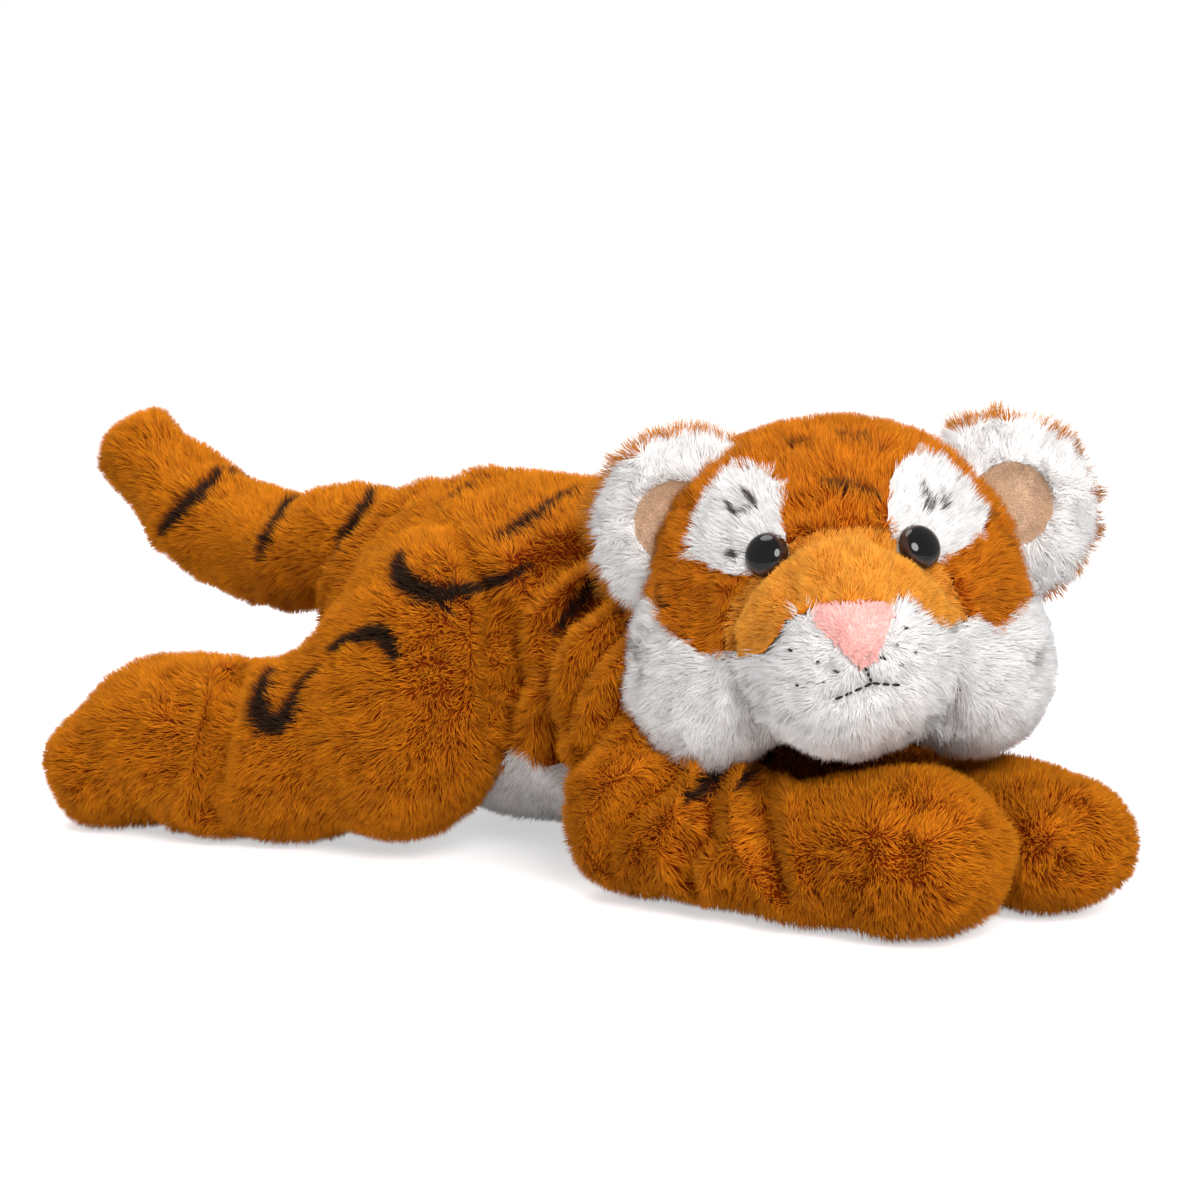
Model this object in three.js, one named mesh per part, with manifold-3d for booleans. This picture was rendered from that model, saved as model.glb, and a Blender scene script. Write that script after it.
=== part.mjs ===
// Stuffed toy tiger, lying on its belly with its head turned to its right.
// Millimetres, +Z up. The tiger faces -Y and its left side is +X.
// It is built as it is sewn: pile fabric skins over stuffing for the body, the head, each half of
// each leg, each half of the tail and the ears, with two safety eyes, a nose patch and face threads.
import * as THREE from 'three';
import { mergeVertices } from 'three/addons/utils/BufferGeometryUtils.js';
import Module from 'manifold-3d';

const wasm = await Module();
wasm.setup();

// Fabric and clearance, and the seams of the belly panel
const pileFabric = 3;
const gap = 0.3;
const bellySeamHeight = 36;
const chestSeam = { out: 0, forward: 60, up: 85 };

// Where the middle of the whole toy lies along its length, seen from the origin
const lengthShift = -7.4;

// Body: stations from chest to rump
const chest = { out: 0, forward: 62, up: 64, halfWidth: 49, halfHeight: 52, cap: 15 };
const ribs = { out: 0, forward: 22, up: 69.5, halfWidth: 57, halfHeight: 61.5 };
const waist = { out: 0, forward: -22, up: 70, halfWidth: 56, halfHeight: 62.5 };
const loin = { out: 0, forward: -62, up: 74, halfWidth: 49, halfHeight: 62 };
const rump = { out: 0, forward: -88, up: 88, halfWidth: 36, halfHeight: 46, cap: 24 };

// Neck: a stuffed ball between the body and the head, on a stuffed collar
const neck = { out: 0, forward: 90, up: 94, radius: 24 };
const neckTurnRange = 45;
const headNodRange = 18;
const collar = { radius: 18, length: 45, drop: 12 };

// Head: its middle, how it is turned, and in its own frame the swellings that make it up
const head = { out: -15, forward: 134, up: 106, turn: -47, tilt: 3 };
const skull = { out: 0, forward: -4, up: 4, halfWidth: 62, halfLength: 52, halfHeight: 54.5 };
const cheek = { out: 43, forward: 0, up: -26, halfWidth: 29, halfLength: 31, halfHeight: 33 };
const muzzle = { out: 1, forward: 35, up: -13, halfWidth: 35, halfLength: 34, halfHeight: 37 };
const headBlend = 4;

// Face panels, in the head's frame
const eyePatch = { out: 34, up: 30.5, halfWidth: 16.5, halfHeight: 17.5 };
const muzzlePanel = { out: 1, up: -12, halfWidth: 36, halfHeight: 40, back: 12, seamUp: -4 };
const cheekPanel = { top: -9, back: -26 };
const nosePatch = { out: 2, halfWidth: 12.5, top: 7, bottom: -13, corner: 4 };

// Safety eyes: a domed button on a stalk, held behind the fabric by a washer
const eye = { out: 25, up: 20, radius: 7.5, dome: 5, sunk: 1.5, stalkRadius: 2.2, stalkLength: 13 };
const eyeWasher = { radius: 7, thickness: 1.6, boreClearance: 0.3 };

// Face threads, in the head's frame: the mouth line and the knots of the whisker spots
const thread = { radius: 0.7, knotRadius: 1.5, sunk: 0.4 };
const mouth = { out: 5.5, top: -14.5, corner: -21.5 };
const lips = { farOut: -6, farUp: -26, nearOut: 15.5, nearUp: -21 };
const whiskers = { out: 16, up: -11, spread: 9, rise: 9 };
const whiskerSpotShares = [[0.1, 1], [-0.3, 0.45], [-0.95, 0], [0.05, -0.35], [0.9, 0.15]];

// Ears: a padded disc cut off at its seam on the head, in the head's frame
const earSeam = { out: 49, aside: 4, forward: -7, up: 22.5, lean: 36 };
const ear = { radius: 32.5, halfThickness: 6, shift: 3.5, root: 4 };
const earFoldRange = 15;
const earLining = { radius: 16, shift: 8 };

// Forelegs: shoulder, elbow, wrist and paw. The left paw reaches further and lies further in.
const shoulder = { out: 43, forward: 70, up: 73, radius: 27 };
const elbow = { out: 50, forward: 85, up: 31, radius: 31.5 };
const wrist = { out: 45, forward: 131, up: 23, halfWidth: 27, halfHeight: 23.5 };
const rightPaw = { out: 38, forward: 181, up: 27.5, halfWidth: 30, halfHeight: 28, cap: 35, blunt: 0.75 };
const leftPaw = { ...rightPaw, out: 25, forward: 189 };
const upperLegEndShare = 0.86;
const shoulderSwingRange = 20;
const elbowDroopRange = 35;

// Hind legs: hip, haunch, thigh, knee and foot
const hip = { out: 42, forward: -30, up: 70 };
const haunch = { out: 50, forward: -20, up: 78, halfWidth: 36, halfLength: 40, halfHeight: 39 };
const thigh = { out: 60, forward: -32, up: 50, halfWidth: 33, halfLength: 47, halfHeight: 45 };
const knee = { out: 69, forward: -71, up: 33.5, halfWidth: 33, halfLength: 34, halfHeight: 34 };
const hock = { out: 76, forward: -94, up: 32.5, radius: 33 };
const instep = { out: 85, forward: -118, up: 32.5, halfWidth: 33, halfHeight: 33 };
const foot = { out: 92, forward: -135, up: 26.5, halfWidth: 31, halfHeight: 27, cap: 29 };
const hipRange = 20;
const hockRange = 20;

// Tail: root, middle joint and tip
const tailRoot = { out: 0, forward: -99, up: 99, radius: 24.5 };
const tailSag = { out: 0, forward: -128, up: 92.5, radius: 23 };
const tailJoint = { out: 0, forward: -156, up: 91, radius: 22.5 };
const tailRise = { out: 0, forward: -184, up: 98, radius: 22 };
const tailBend = { out: 0, forward: -207, up: 109, radius: 21 };
const tailTip = { out: 0, forward: -222, up: 122, radius: 18.5, cap: 17 };
const tailEndShare = 0.84;
const tailLiftRange = 20;
const tailCurlRange = 25;

// How finely the forms are divided
const sides = 12;
const innerSides = 6;
const panelSides = 8;
const spanSteps = 2;
const pathSides = 8;
const roomSides = 16;
const headRoomSides = 22;
const headSides = 20;
const ballSides = 12;
const domeSteps = 4;
const poseSteps = 2;
const rowShare = 0.6;
const capShare = 0.25;
const finestShare = 0.01;
const cordSides = 5;
const octahedronReach = Math.sqrt(3);
const mouthShare = 0.4;
const thighBlend = 5;
const far = 1000;

// Fabrics and plastics
function cloth(color, roughness) {
  return new THREE.MeshStandardMaterial({ color, roughness, metalness: 0 });
}
const orangePlush = cloth(0xc9741a, 0.95);
const orangeShort = cloth(0xcf8530, 0.9);
const whitePlush = cloth(0xf1eeea, 0.95);
const beigeVelour = cloth(0xc9a27a, 0.9);
const pinkVelour = cloth(0xf4aaa2, 0.9);
const fibre = cloth(0xe9e9e4, 1);
const blackThread = cloth(0x1b1817, 0.7);
const eyePlastic = new THREE.MeshStandardMaterial({ color: 0x0d0a09, roughness: 0.12, metalness: 0 });
const washerPlastic = new THREE.MeshStandardMaterial({ color: 0xd8d8d2, roughness: 0.5, metalness: 0 });

const degree = Math.PI / 180;
const upAxis = new THREE.Vector3(0, 0, 1);
const sideAxis = new THREE.Vector3(1, 0, 0);
const frontAxis = new THREE.Vector3(0, -1, 0);

// Places: out is towards the given side, forward is the way the tiger faces
function place(at, side = 1) {
  return new THREE.Vector3(side * at.out, lengthShift - at.forward, at.up);
}

// Solids from closed surfaces
function solidFrom(positions, triangles) {
  const corner = (i) => new THREE.Vector3().fromArray(positions, 3 * i);
  let volume = 0;
  for (let i = 0; i < triangles.length; i += 3) {
    volume += corner(triangles[i]).dot(corner(triangles[i + 1]).cross(corner(triangles[i + 2])));
  }
  const outward = volume < 0 ? triangles.slice().reverse() : triangles;
  return new wasm.Manifold(new wasm.Mesh({
    numProp: 3,
    vertProperties: new Float32Array(positions),
    triVerts: new Uint32Array(outward),
  }));
}

function solidOf(geometry, matrix = new THREE.Matrix4()) {
  const bare = geometry.clone().applyMatrix4(matrix);
  bare.deleteAttribute('normal');
  bare.deleteAttribute('uv');
  const merged = mergeVertices(bare);
  return solidFrom(Array.from(merged.getAttribute('position').array), Array.from(merged.getIndex().array));
}

function turned(solid, matrix) {
  const { vertProperties, triVerts } = solid.getMesh();
  const corners = new THREE.BufferAttribute(vertProperties.slice(), 3).applyMatrix4(matrix);
  return new wasm.Manifold(new wasm.Mesh({ numProp: 3, vertProperties: corners.array, triVerts }));
}

function meshOf(name, solid, material) {
  const { vertProperties, triVerts } = solid.getMesh();
  const geometry = new THREE.BufferGeometry();
  geometry.setAttribute('position', new THREE.BufferAttribute(vertProperties, 3));
  geometry.setIndex(Array.from(triVerts));
  geometry.computeVertexNormals();
  const mesh = new THREE.Mesh(geometry, material);
  mesh.name = name;
  return mesh;
}

function joined(...solids) {
  return solids.reduce((all, solid) => all.add(solid));
}
function cutBy(solid, ...cutters) {
  return cutters.reduce((left, cutter) => left.subtract(cutter), solid);
}

// Rows of rings closed by a point at each end
function closedRings(rings, startPoint, endPoint) {
  const around = rings[0].length;
  const positions = rings.flat().flatMap((p) => [p.x, p.y, p.z]);
  positions.push(startPoint.x, startPoint.y, startPoint.z, endPoint.x, endPoint.y, endPoint.z);
  const start = rings.length * around;
  const last = start - around;
  const triangles = [];
  for (let i = 0; i < around; i += 1) {
    const next = (i + 1) % around;
    triangles.push(start, next, i);
    triangles.push(start + 1, last + i, last + next);
    for (let a = i, b = next; a < last; a += around, b += around) {
      triangles.push(a, b, a + around);
      triangles.push(b, b + around, a + around);
    }
  }
  return solidFrom(positions, triangles);
}

// A stuffed limb: oval rings that swell and taper along a smooth line through its stations,
// with a rounded cap beyond its first and its last station
function limb(stations, side, grow, around, stepsPerSpan) {
  const spans = stations.length - 1;
  const points = stations.map((at) => place(at, side));
  const line = new THREE.CatmullRomCurve3(points, false, 'catmullrom');
  const smooth = (read, t) => {
    const values = stations.map(read);
    const span = Math.min(Math.floor(t), spans - 1);
    const [b, c] = [values[span], values[span + 1]];
    const a = span > 0 ? values[span - 1] : 2 * b - c;
    const d = span + 1 < spans ? values[span + 2] : 2 * c - b;
    const x = t - span;
    return b + (x / 2) * (c - a + x * (2 * a - 5 * b + 4 * c - d + x * (3 * (b - c) + d - a)));
  };
  const ring = (centre, direction, t, capShare) => {
    const across = new THREE.Vector3().crossVectors(direction, upAxis).normalize();
    const upward = new THREE.Vector3().crossVectors(across, direction).normalize();
    const wide = (smooth((at) => at.halfWidth ?? at.radius, t) + grow) * capShare;
    const high = (smooth((at) => at.halfHeight ?? at.radius, t) + grow) * capShare;
    return Array.from({ length: around }, (_, i) => {
      const angle = (2 * Math.PI * i) / around;
      return centre.clone()
        .addScaledVector(across, wide * Math.cos(angle))
        .addScaledVector(upward, high * Math.sin(angle));
    });
  };
  const capSteps = Math.round(around * capShare);
  const cap = (t, sign) => {
    const at = stations[t];
    const centre = line.getPoint(t / spans);
    const direction = line.getTangent(t / spans);
    const length = sign * ((at.cap ?? at.radius) + grow);
    const rings = Array.from({ length: capSteps - 1 }, (_, i) => {
      const angle = ((i + 1) / capSteps) * 90 * degree;
      const middle = centre.clone().addScaledVector(direction, length * Math.sin(angle) ** (at.blunt ?? 1));
      return ring(middle, direction, t, Math.cos(angle) ** (at.blunt ?? 1));
    });
    return { rings, tip: centre.clone().addScaledVector(direction, length) };
  };
  const rings = Array.from({ length: spans * stepsPerSpan + 1 }, (_, i) => {
    const t = i / stepsPerSpan;
    return ring(line.getPoint(t / spans), line.getTangent(t / spans), t, 1);
  });
  const start = cap(0, -1);
  const end = cap(spans, 1);
  return closedRings([...start.rings.reverse(), ...rings, ...end.rings], start.tip, end.tip);
}

// A swelling shape: ovals that melt into one another
function oval(at, middle, side = 1) {
  return {
    centre: new THREE.Vector3(side * at.out, middle - at.forward, at.up),
    radii: new THREE.Vector3(at.halfWidth, at.halfLength, at.halfHeight),
  };
}

function depthOutside(ovals, blend, point) {
  const sum = ovals.reduce((total, { centre, radii }) => {
    const reach = point.clone().sub(centre).divide(radii).length();
    const distance = (reach - 1) * Math.min(radii.x, radii.y, radii.z);
    return total + Math.exp(-distance / blend);
  }, 0);
  return -blend * Math.log(sum);
}

// The same depth where a shape passes through a row of poses
function depthPassing(depth, poses) {
  const inverses = poses.map((pose) => pose.clone().invert());
  return (point) => Math.min(...inverses.map((inverse) => depth(point.clone().applyMatrix4(inverse))));
}

// Where a ray from inside leaves the swelling
function leaving(depth, grow, from, direction) {
  let inside = 0;
  let outside = far;
  while (outside - inside > gap * finestShare) {
    const half = (inside + outside) / 2;
    const point = from.clone().addScaledVector(direction, half);
    if (depth(point) > grow) outside = half;
    else inside = half;
  }
  return from.clone().addScaledVector(direction, inside);
}

function swelling(middle, depth, grow, around) {
  const rows = Math.round(around * rowShare);
  const leave = (direction) => leaving(depth, grow, middle, direction);
  const rings = Array.from({ length: rows - 1 }, (_, row) => {
    const down = (Math.PI * (row + 1)) / rows;
    return Array.from({ length: around }, (_, i) => {
      const turn = (2 * Math.PI * i) / around;
      const level = Math.sin(down);
      return leave(new THREE.Vector3(level * Math.cos(turn), level * Math.sin(turn), Math.cos(down)));
    });
  });
  return closedRings(rings, leave(upAxis), leave(upAxis.clone().negate()));
}

// Balls, and the sockets that they turn in, which allow for the balls' flat facets
function ball(centre, radius, around) {
  const sphere = new THREE.SphereGeometry(radius, around, Math.round(around * rowShare));
  return solidOf(sphere, new THREE.Matrix4().setPosition(centre));
}
function socket(centre, radius) {
  const rows = Math.round(ballSides * rowShare);
  const facetShare = Math.cos(Math.PI / ballSides) * Math.cos(Math.PI / (2 * rows));
  return ball(centre, (radius + gap) / facetShare, ballSides);
}

// Turning about a line through a point, and the space that a turning solid passes through
function turnAbout(point, axis, angle) {
  return new THREE.Matrix4().makeTranslation(point.x, point.y, point.z)
    .multiply(new THREE.Matrix4().makeRotationAxis(axis, angle * degree))
    .multiply(new THREE.Matrix4().makeTranslation(-point.x, -point.y, -point.z));
}
function steps(from, to, count) {
  return Array.from({ length: count + 1 }, (_, i) => from + ((to - from) * i) / count);
}
// Straight cutters: a funnel and a round rod between two points, and a block between two corners
function funnel(from, to, fromRadius, toRadius, around = innerSides) {
  const turn = new THREE.Quaternion().setFromUnitVectors(
    new THREE.Vector3(0, 1, 0), to.clone().sub(from).normalize(),
  );
  const middle = from.clone().add(to).divideScalar(2);
  const matrix = new THREE.Matrix4().compose(middle, turn, new THREE.Vector3(1, 1, 1));
  return solidOf(new THREE.CylinderGeometry(toRadius, fromRadius, from.distanceTo(to), around), matrix);
}
function rod(from, to, radius, around = innerSides) {
  return funnel(from, to, radius, radius, around);
}
// The funnel that a limb needs when it swings any way about its hinge by a given angle
function swingRoom(hinge, towards, radius, range) {
  const grown = radius / Math.cos(range * degree) + clearing(radius, innerSides);
  const spread = hinge.distanceTo(towards) * Math.tan(range * degree);
  return funnel(hinge, towards, grown, grown + spread);
}
function block(low, high) {
  const size = high.clone().sub(low);
  const middle = high.clone().add(low).divideScalar(2);
  return solidOf(new THREE.BoxGeometry(size.x, size.y, size.z), new THREE.Matrix4().setPosition(middle));
}
const ground = block(new THREE.Vector3(-far, -far, -far), new THREE.Vector3(far, far, 0));

// A skin and its filling. The skin is hollow, and open where the cutters or its mouth open it.
function stuffed(form, cutters, mouths = []) {
  const skin = cutBy(form(0, sides), ...cutters, form(-pileFabric, innerSides), ...mouths);
  const filling = cutBy(form(-pileFabric - gap, innerSides), ...cutters);
  return { skin, filling };
}
// The gathered mouth through which a limb is filled, at the end where it is sewn on
function mouthOf(at, towards, side) {
  const start = place(at, side);
  const away = start.clone().sub(place(towards, side)).normalize();
  const outside = start.clone().addScaledVector(away, at.radius + pileFabric);
  return rod(start, outside, at.radius * mouthShare);
}

// Head frame: how the head stands, and every way that the neck can turn and nod it
const headMatrix = new THREE.Matrix4().compose(
  place(head),
  new THREE.Quaternion().setFromAxisAngle(upAxis, head.turn * degree)
    .multiply(new THREE.Quaternion().setFromAxisAngle(new THREE.Vector3(0, -1, 0), head.tilt * degree)),
  new THREE.Vector3(1, 1, 1),
);
const headInverse = headMatrix.clone().invert();
const neckPoint = place(neck);
const nodAxis = sideAxis.clone().applyAxisAngle(upAxis, head.turn * degree);
const headPoses = steps(0, headNodRange, poseSteps).flatMap((nod) => {
  return steps(0, neckTurnRange, poseSteps).map((turn) => {
    return turnAbout(neckPoint, upAxis, turn).multiply(turnAbout(neckPoint, nodAxis, -nod));
  });
});

// Body forms
const torsoForm = (grow, around) => {
  return limb([chest, ribs, waist, loin, rump], 1, grow, around, spanSteps);
};
const tailRootForm = (grow, around) => {
  const end = { ...tailJoint, radius: tailJoint.radius * tailEndShare };
  return limb([tailRoot, tailSag, end], 1, grow, around, spanSteps);
};
const tailTipForm = (grow, around) => {
  return limb([tailJoint, tailRise, tailBend, tailTip], 1, grow, around, spanSteps);
};
const upperLegForm = (side) => (grow, around) => {
  const end = { ...elbow, radius: elbow.radius * upperLegEndShare };
  return limb([shoulder, end], side, grow, around, spanSteps);
};
const forelegForm = (side) => (grow, around) => {
  return limb([elbow, wrist, side > 0 ? leftPaw : rightPaw], side, grow, around, spanSteps);
};
const thighDepth = (side) => {
  const ovals = [haunch, thigh, knee].map((at) => oval(at, lengthShift, side));
  return (point) => depthOutside(ovals, thighBlend, point);
};
const thighForm = (side) => (grow, around) => swelling(place(thigh, side), thighDepth(side), grow, around);
const footForm = (side) => (grow, around) => {
  return limb([hock, instep, foot], side, grow, around, spanSteps);
};
const headOvals = [oval(skull, 0), oval(cheek, 0), oval(cheek, 0, -1), oval(muzzle, 0)];
const headDepth = (point) => depthOutside(headOvals, headBlend, point);
const headMiddle = new THREE.Vector3();
const headForm = (grow, around) => swelling(headMiddle, headDepth, grow, around);

// How much a form with flat facets has to grow until they clear the rounded form
const clearing = (radius, around) => 2 * gap + radius / Math.cos(Math.PI / around) - radius;
const roomy = (form, radius) => form(clearing(radius, pathSides), pathSides);

// What the moving neighbours pass through
const headPath = (...around) => swelling(
  place(head),
  depthPassing(headDepth, around.reduce(
    (poses, turns) => turns.flatMap((turn) => poses.map((pose) => turn.clone().multiply(pose))),
    headPoses.map((pose) => pose.clone().multiply(headMatrix)),
  )),
  clearing(skull.halfWidth, headRoomSides) * 2,
  headRoomSides,
);
const shoulderTurns = (side) => steps(0, -side * shoulderSwingRange, poseSteps)
  .map((angle) => turnAbout(place(shoulder, side), upAxis, angle));
const elbowTurns = (side) => steps(0, -elbowDroopRange, poseSteps)
  .map((angle) => turnAbout(place(elbow, side), sideAxis, angle));
const forelegPath = (side) => {
  const upper = limb([shoulder, elbow], side, clearing(elbow.radius, pathSides), pathSides, 1);
  const swung = turned(upper, turnAbout(place(shoulder, side), upAxis, side * shoulderSwingRange));
  return joined(upper, swung);
};
const thighPath = (side) => {
  const swings = steps(-hipRange, hipRange, poseSteps);
  const poses = swings.map((angle) => turnAbout(place(hip, side), sideAxis, angle));
  const grow = clearing(thigh.halfLength, roomSides);
  return swelling(place(thigh, side), depthPassing(thighDepth(side), poses), grow, roomSides);
};

const group = new THREE.Group();
const headGroup = new THREE.Group();
headGroup.applyMatrix4(headMatrix);
group.add(headGroup);

// Everything on the far side of a level through a point
function beyond(point, direction, distance) {
  const start = point.clone().addScaledVector(direction, distance);
  const turn = new THREE.Quaternion().setFromUnitVectors(upAxis, direction);
  const lifted = new THREE.Matrix4().makeTranslation(0, 0, far / 2);
  const matrix = new THREE.Matrix4().compose(start, turn, new THREE.Vector3(1, 1, 1)).multiply(lifted);
  return solidOf(new THREE.BoxGeometry(far, far, far), matrix);
}
// The end of a limb where the next one turns: a socket, and a cut that clears its turning
function jointEnd(at, towards, side, range) {
  const hinge = place(at, side);
  const away = place(towards, side).sub(hinge).normalize();
  const back = (at.radius + gap) * Math.sin(range * degree);
  return joined(socket(hinge, at.radius), beyond(hinge, away, -back));
}

// Forelegs
function addForeleg(name, side) {
  const lowerPath = roomy(forelegForm(side), elbow.radius);
  const hinge = socket(place(elbow, side), elbow.radius);
  const overUpper = headPath(shoulderTurns(side));
  const overLower = headPath(shoulderTurns(side), elbowTurns(side));
  const upper = stuffed(upperLegForm(side), [hinge, lowerPath, overUpper, ground]);
  const lower = stuffed(forelegForm(side), [overLower, ground], [mouthOf(elbow, wrist, side)]);
  group.add(meshOf(`foreleg_skin_${name}`, upper.skin, orangePlush));
  group.add(meshOf(`foreleg_stuffing_${name}`, upper.filling, fibre));
  group.add(meshOf(`paw_skin_${name}`, lower.skin, orangePlush));
  group.add(meshOf(`paw_stuffing_${name}`, lower.filling, fibre));
}

// Hind legs, cut flat where they lie against the body
function addHindLeg(name, side) {
  const inward = new THREE.Vector3(-side, 0, 0);
  const body = beyond(place(hip, side), inward, -gap / 2);
  const upper = stuffed(thighForm(side), [jointEnd(hock, instep, side, hockRange), body, ground]);
  const lower = stuffed(footForm(side), [ground], [mouthOf(hock, instep, side)]);
  group.add(meshOf(`thigh_skin_${name}`, upper.skin, orangePlush));
  group.add(meshOf(`thigh_stuffing_${name}`, upper.filling, fibre));
  group.add(meshOf(`foot_skin_${name}`, lower.skin, orangePlush));
  group.add(meshOf(`foot_stuffing_${name}`, lower.filling, fibre));
}
function hipRecess(side) {
  return cutBy(thighPath(side), beyond(place(hip, side), new THREE.Vector3(-side, 0, 0), gap / 2));
}

// Tail, in two halves
function addTail() {
  const root = stuffed(tailRootForm, [jointEnd(tailJoint, tailRise, 1, tailCurlRange)]);
  const tip = stuffed(tailTipForm, [], [mouthOf(tailJoint, tailRise, 1)]);
  group.add(meshOf('tail_root_skin', root.skin, orangePlush));
  group.add(meshOf('tail_root_stuffing', root.filling, fibre));
  group.add(meshOf('tail_tip_skin', tip.skin, orangePlush));
  group.add(meshOf('tail_tip_stuffing', tip.filling, fibre));
}

// Body skin in two panels, its stuffing, and the neck between it and the head
const collarBack = neckPoint.clone().add(new THREE.Vector3(0, collar.length, -collar.drop));
function addTorso() {
  const tail = place(tailRoot);
  const shoulders = [-1, 1].map((side) => {
    return joined(socket(place(shoulder, side), shoulder.radius), forelegPath(side));
  });
  const neckSocket = socket(neckPoint, neck.radius);
  const { skin, filling } = stuffed(torsoForm, [
    headPath(), neckSocket, ground, socket(tail, tailRoot.radius),
    swingRoom(tail, place(tailSag), tailRoot.radius, tailLiftRange),
    ...shoulders, hipRecess(-1), hipRecess(1),
  ]);
  const open = cutBy(skin, rod(neckPoint, collarBack, collar.radius + gap));
  const corner = place(chestSeam);
  const underside = (grow) => joined(
    beyond(new THREE.Vector3(0, 0, bellySeamHeight), upAxis.clone().negate(), -grow),
    cutBy(beyond(corner, frontAxis, -grow), beyond(corner, upAxis, grow)),
  );
  group.add(meshOf('back_skin', cutBy(open, underside(gap)), orangePlush));
  group.add(meshOf('belly_skin', open.intersect(underside(0)), whitePlush));
  const collarRod = cutBy(rod(neckPoint, collarBack, collar.radius), neckSocket, ...shoulders);
  group.add(meshOf('torso_stuffing', joined(filling, collarRod), fibre));
  group.add(meshOf('neck', ball(neckPoint, neck.radius, roomSides), whitePlush));
}

// A flat outline in the face, stretched back through the head
function facePrism(outline, back, front) {
  const shape = new THREE.Shape();
  outline(shape);
  const prism = new THREE.ExtrudeGeometry(shape, {
    depth: front - back, bevelEnabled: false, curveSegments: panelSides,
  });
  const upright = new THREE.Matrix4().makeRotationX(90 * degree);
  return solidOf(prism, new THREE.Matrix4().makeTranslation(0, -back, 0).multiply(upright));
}
const ovalPrism = (at, side, grow, back = 0) => facePrism((shape) => {
  shape.absellipse(side * at.out, at.up, at.halfWidth + grow, at.halfHeight + grow, 0, 2 * Math.PI);
}, back, far);
const nosePrism = (grow) => facePrism((shape) => {
  const { out, halfWidth, top, bottom, corner } = nosePatch;
  shape.moveTo(out - halfWidth - grow, top - corner);
  shape.quadraticCurveTo(out - halfWidth - grow, top + grow, out - halfWidth + corner, top + grow);
  shape.lineTo(out + halfWidth - corner, top + grow);
  shape.quadraticCurveTo(out + halfWidth + grow, top + grow, out + halfWidth + grow, top - corner);
  shape.quadraticCurveTo(out + corner + grow, bottom - grow, out, bottom - grow);
  shape.quadraticCurveTo(out - corner - grow, bottom - grow, out - halfWidth - grow, top - corner);
}, muzzlePanel.back, far);

// A point on the front of the head, and the way the surface faces there
function onFace(out, up, proud = 0) {
  const inside = new THREE.Vector3(out, 0, up);
  const point = leaving(headDepth, proud, inside, new THREE.Vector3(0, -1, 0));
  const slope = ['x', 'y', 'z'].map((axis) => {
    const beside = point.clone();
    beside[axis] += gap;
    return headDepth(beside) - proud;
  });
  return { point, facing: new THREE.Vector3(...slope).normalize() };
}
function standing(out, up, sunk) {
  const { point, facing } = onFace(out, up);
  const turn = new THREE.Quaternion().setFromUnitVectors(new THREE.Vector3(0, 1, 0), facing);
  const seat = point.addScaledVector(facing, -sunk);
  return new THREE.Matrix4().compose(seat, turn, new THREE.Vector3(1, 1, 1));
}

// Safety eye: its dome and stalk are turned in one piece, and a washer locks it from inside
function eyeButton(grow) {
  const curve = Array.from({ length: domeSteps }, (_, i) => {
    const angle = (90 * degree * i) / domeSteps;
    return new THREE.Vector2((eye.radius + grow) * Math.cos(angle), (eye.dome + grow) * Math.sin(angle));
  });
  const profile = [
    new THREE.Vector2(0, -eye.stalkLength - grow),
    new THREE.Vector2(eye.stalkRadius + grow, -eye.stalkLength - grow),
    new THREE.Vector2(eye.stalkRadius + grow, -grow),
    new THREE.Vector2(eye.radius + grow, -grow),
    ...curve,
    new THREE.Vector2(0, eye.dome + grow),
  ];
  return new THREE.LatheGeometry(profile, ballSides);
}
function washer(grow) {
  const top = eye.sunk - pileFabric - 2 * gap + grow;
  const bottom = top - eyeWasher.thickness - 2 * grow;
  const [inner, outer] = [eye.stalkRadius + eyeWasher.boreClearance, eyeWasher.radius + grow];
  const bored = [[inner, bottom], [outer, bottom], [outer, top], [inner, top], [inner, bottom]];
  const solid = [[0, bottom], [outer, bottom], [outer, top], [0, top]];
  const profile = (grow ? solid : bored).map(([x, y]) => new THREE.Vector2(x, y));
  return new THREE.LatheGeometry(profile, ballSides);
}

// Thread that lies on the face along a line of points
function threadAlong(spots, radius, proud) {
  const points = spots.map(([out, up]) => onFace(out, up, proud).point);
  const path = new THREE.CatmullRomCurve3(points, false, 'catmullrom');
  const rings = steps(0, 1, spanSteps * (points.length - 1)).map((t) => {
    const across = new THREE.Vector3().crossVectors(path.getTangent(t), frontAxis).normalize();
    const upward = new THREE.Vector3().crossVectors(across, path.getTangent(t));
    return steps(0, 2 * Math.PI, cordSides).slice(1).map((angle) => path.getPoint(t)
      .addScaledVector(across, radius * Math.cos(angle))
      .addScaledVector(upward, radius * Math.sin(angle)));
  });
  return closedRings(rings, path.getPoint(0), path.getPoint(1));
}
function mouthThread() {
  const upright = [[mouth.out, mouth.top], [mouth.out, mouth.corner]];
  const across = [[lips.farOut, lips.farUp], [mouth.out, mouth.corner], [lips.nearOut, lips.nearUp]];
  const proud = thread.radius + gap;
  return joined(threadAlong(upright, thread.radius, proud), threadAlong(across, thread.radius, proud));
}
function whiskerThread(side, grow) {
  const spots = whiskerSpotShares.map(([across, rise]) => [
    muzzlePanel.out + side * (whiskers.out + across * whiskers.spread),
    whiskers.up + rise * whiskers.rise,
  ]);
  const knots = spots.map(([out, up]) => solidOf(
    new THREE.OctahedronGeometry(thread.knotRadius + grow * octahedronReach, 0),
    new THREE.Matrix4().setPosition(onFace(out, up, -thread.sunk).point),
  ));
  return joined(threadAlong(spots, thread.radius / 2 + grow, -thread.sunk), ...knots);
}

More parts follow.
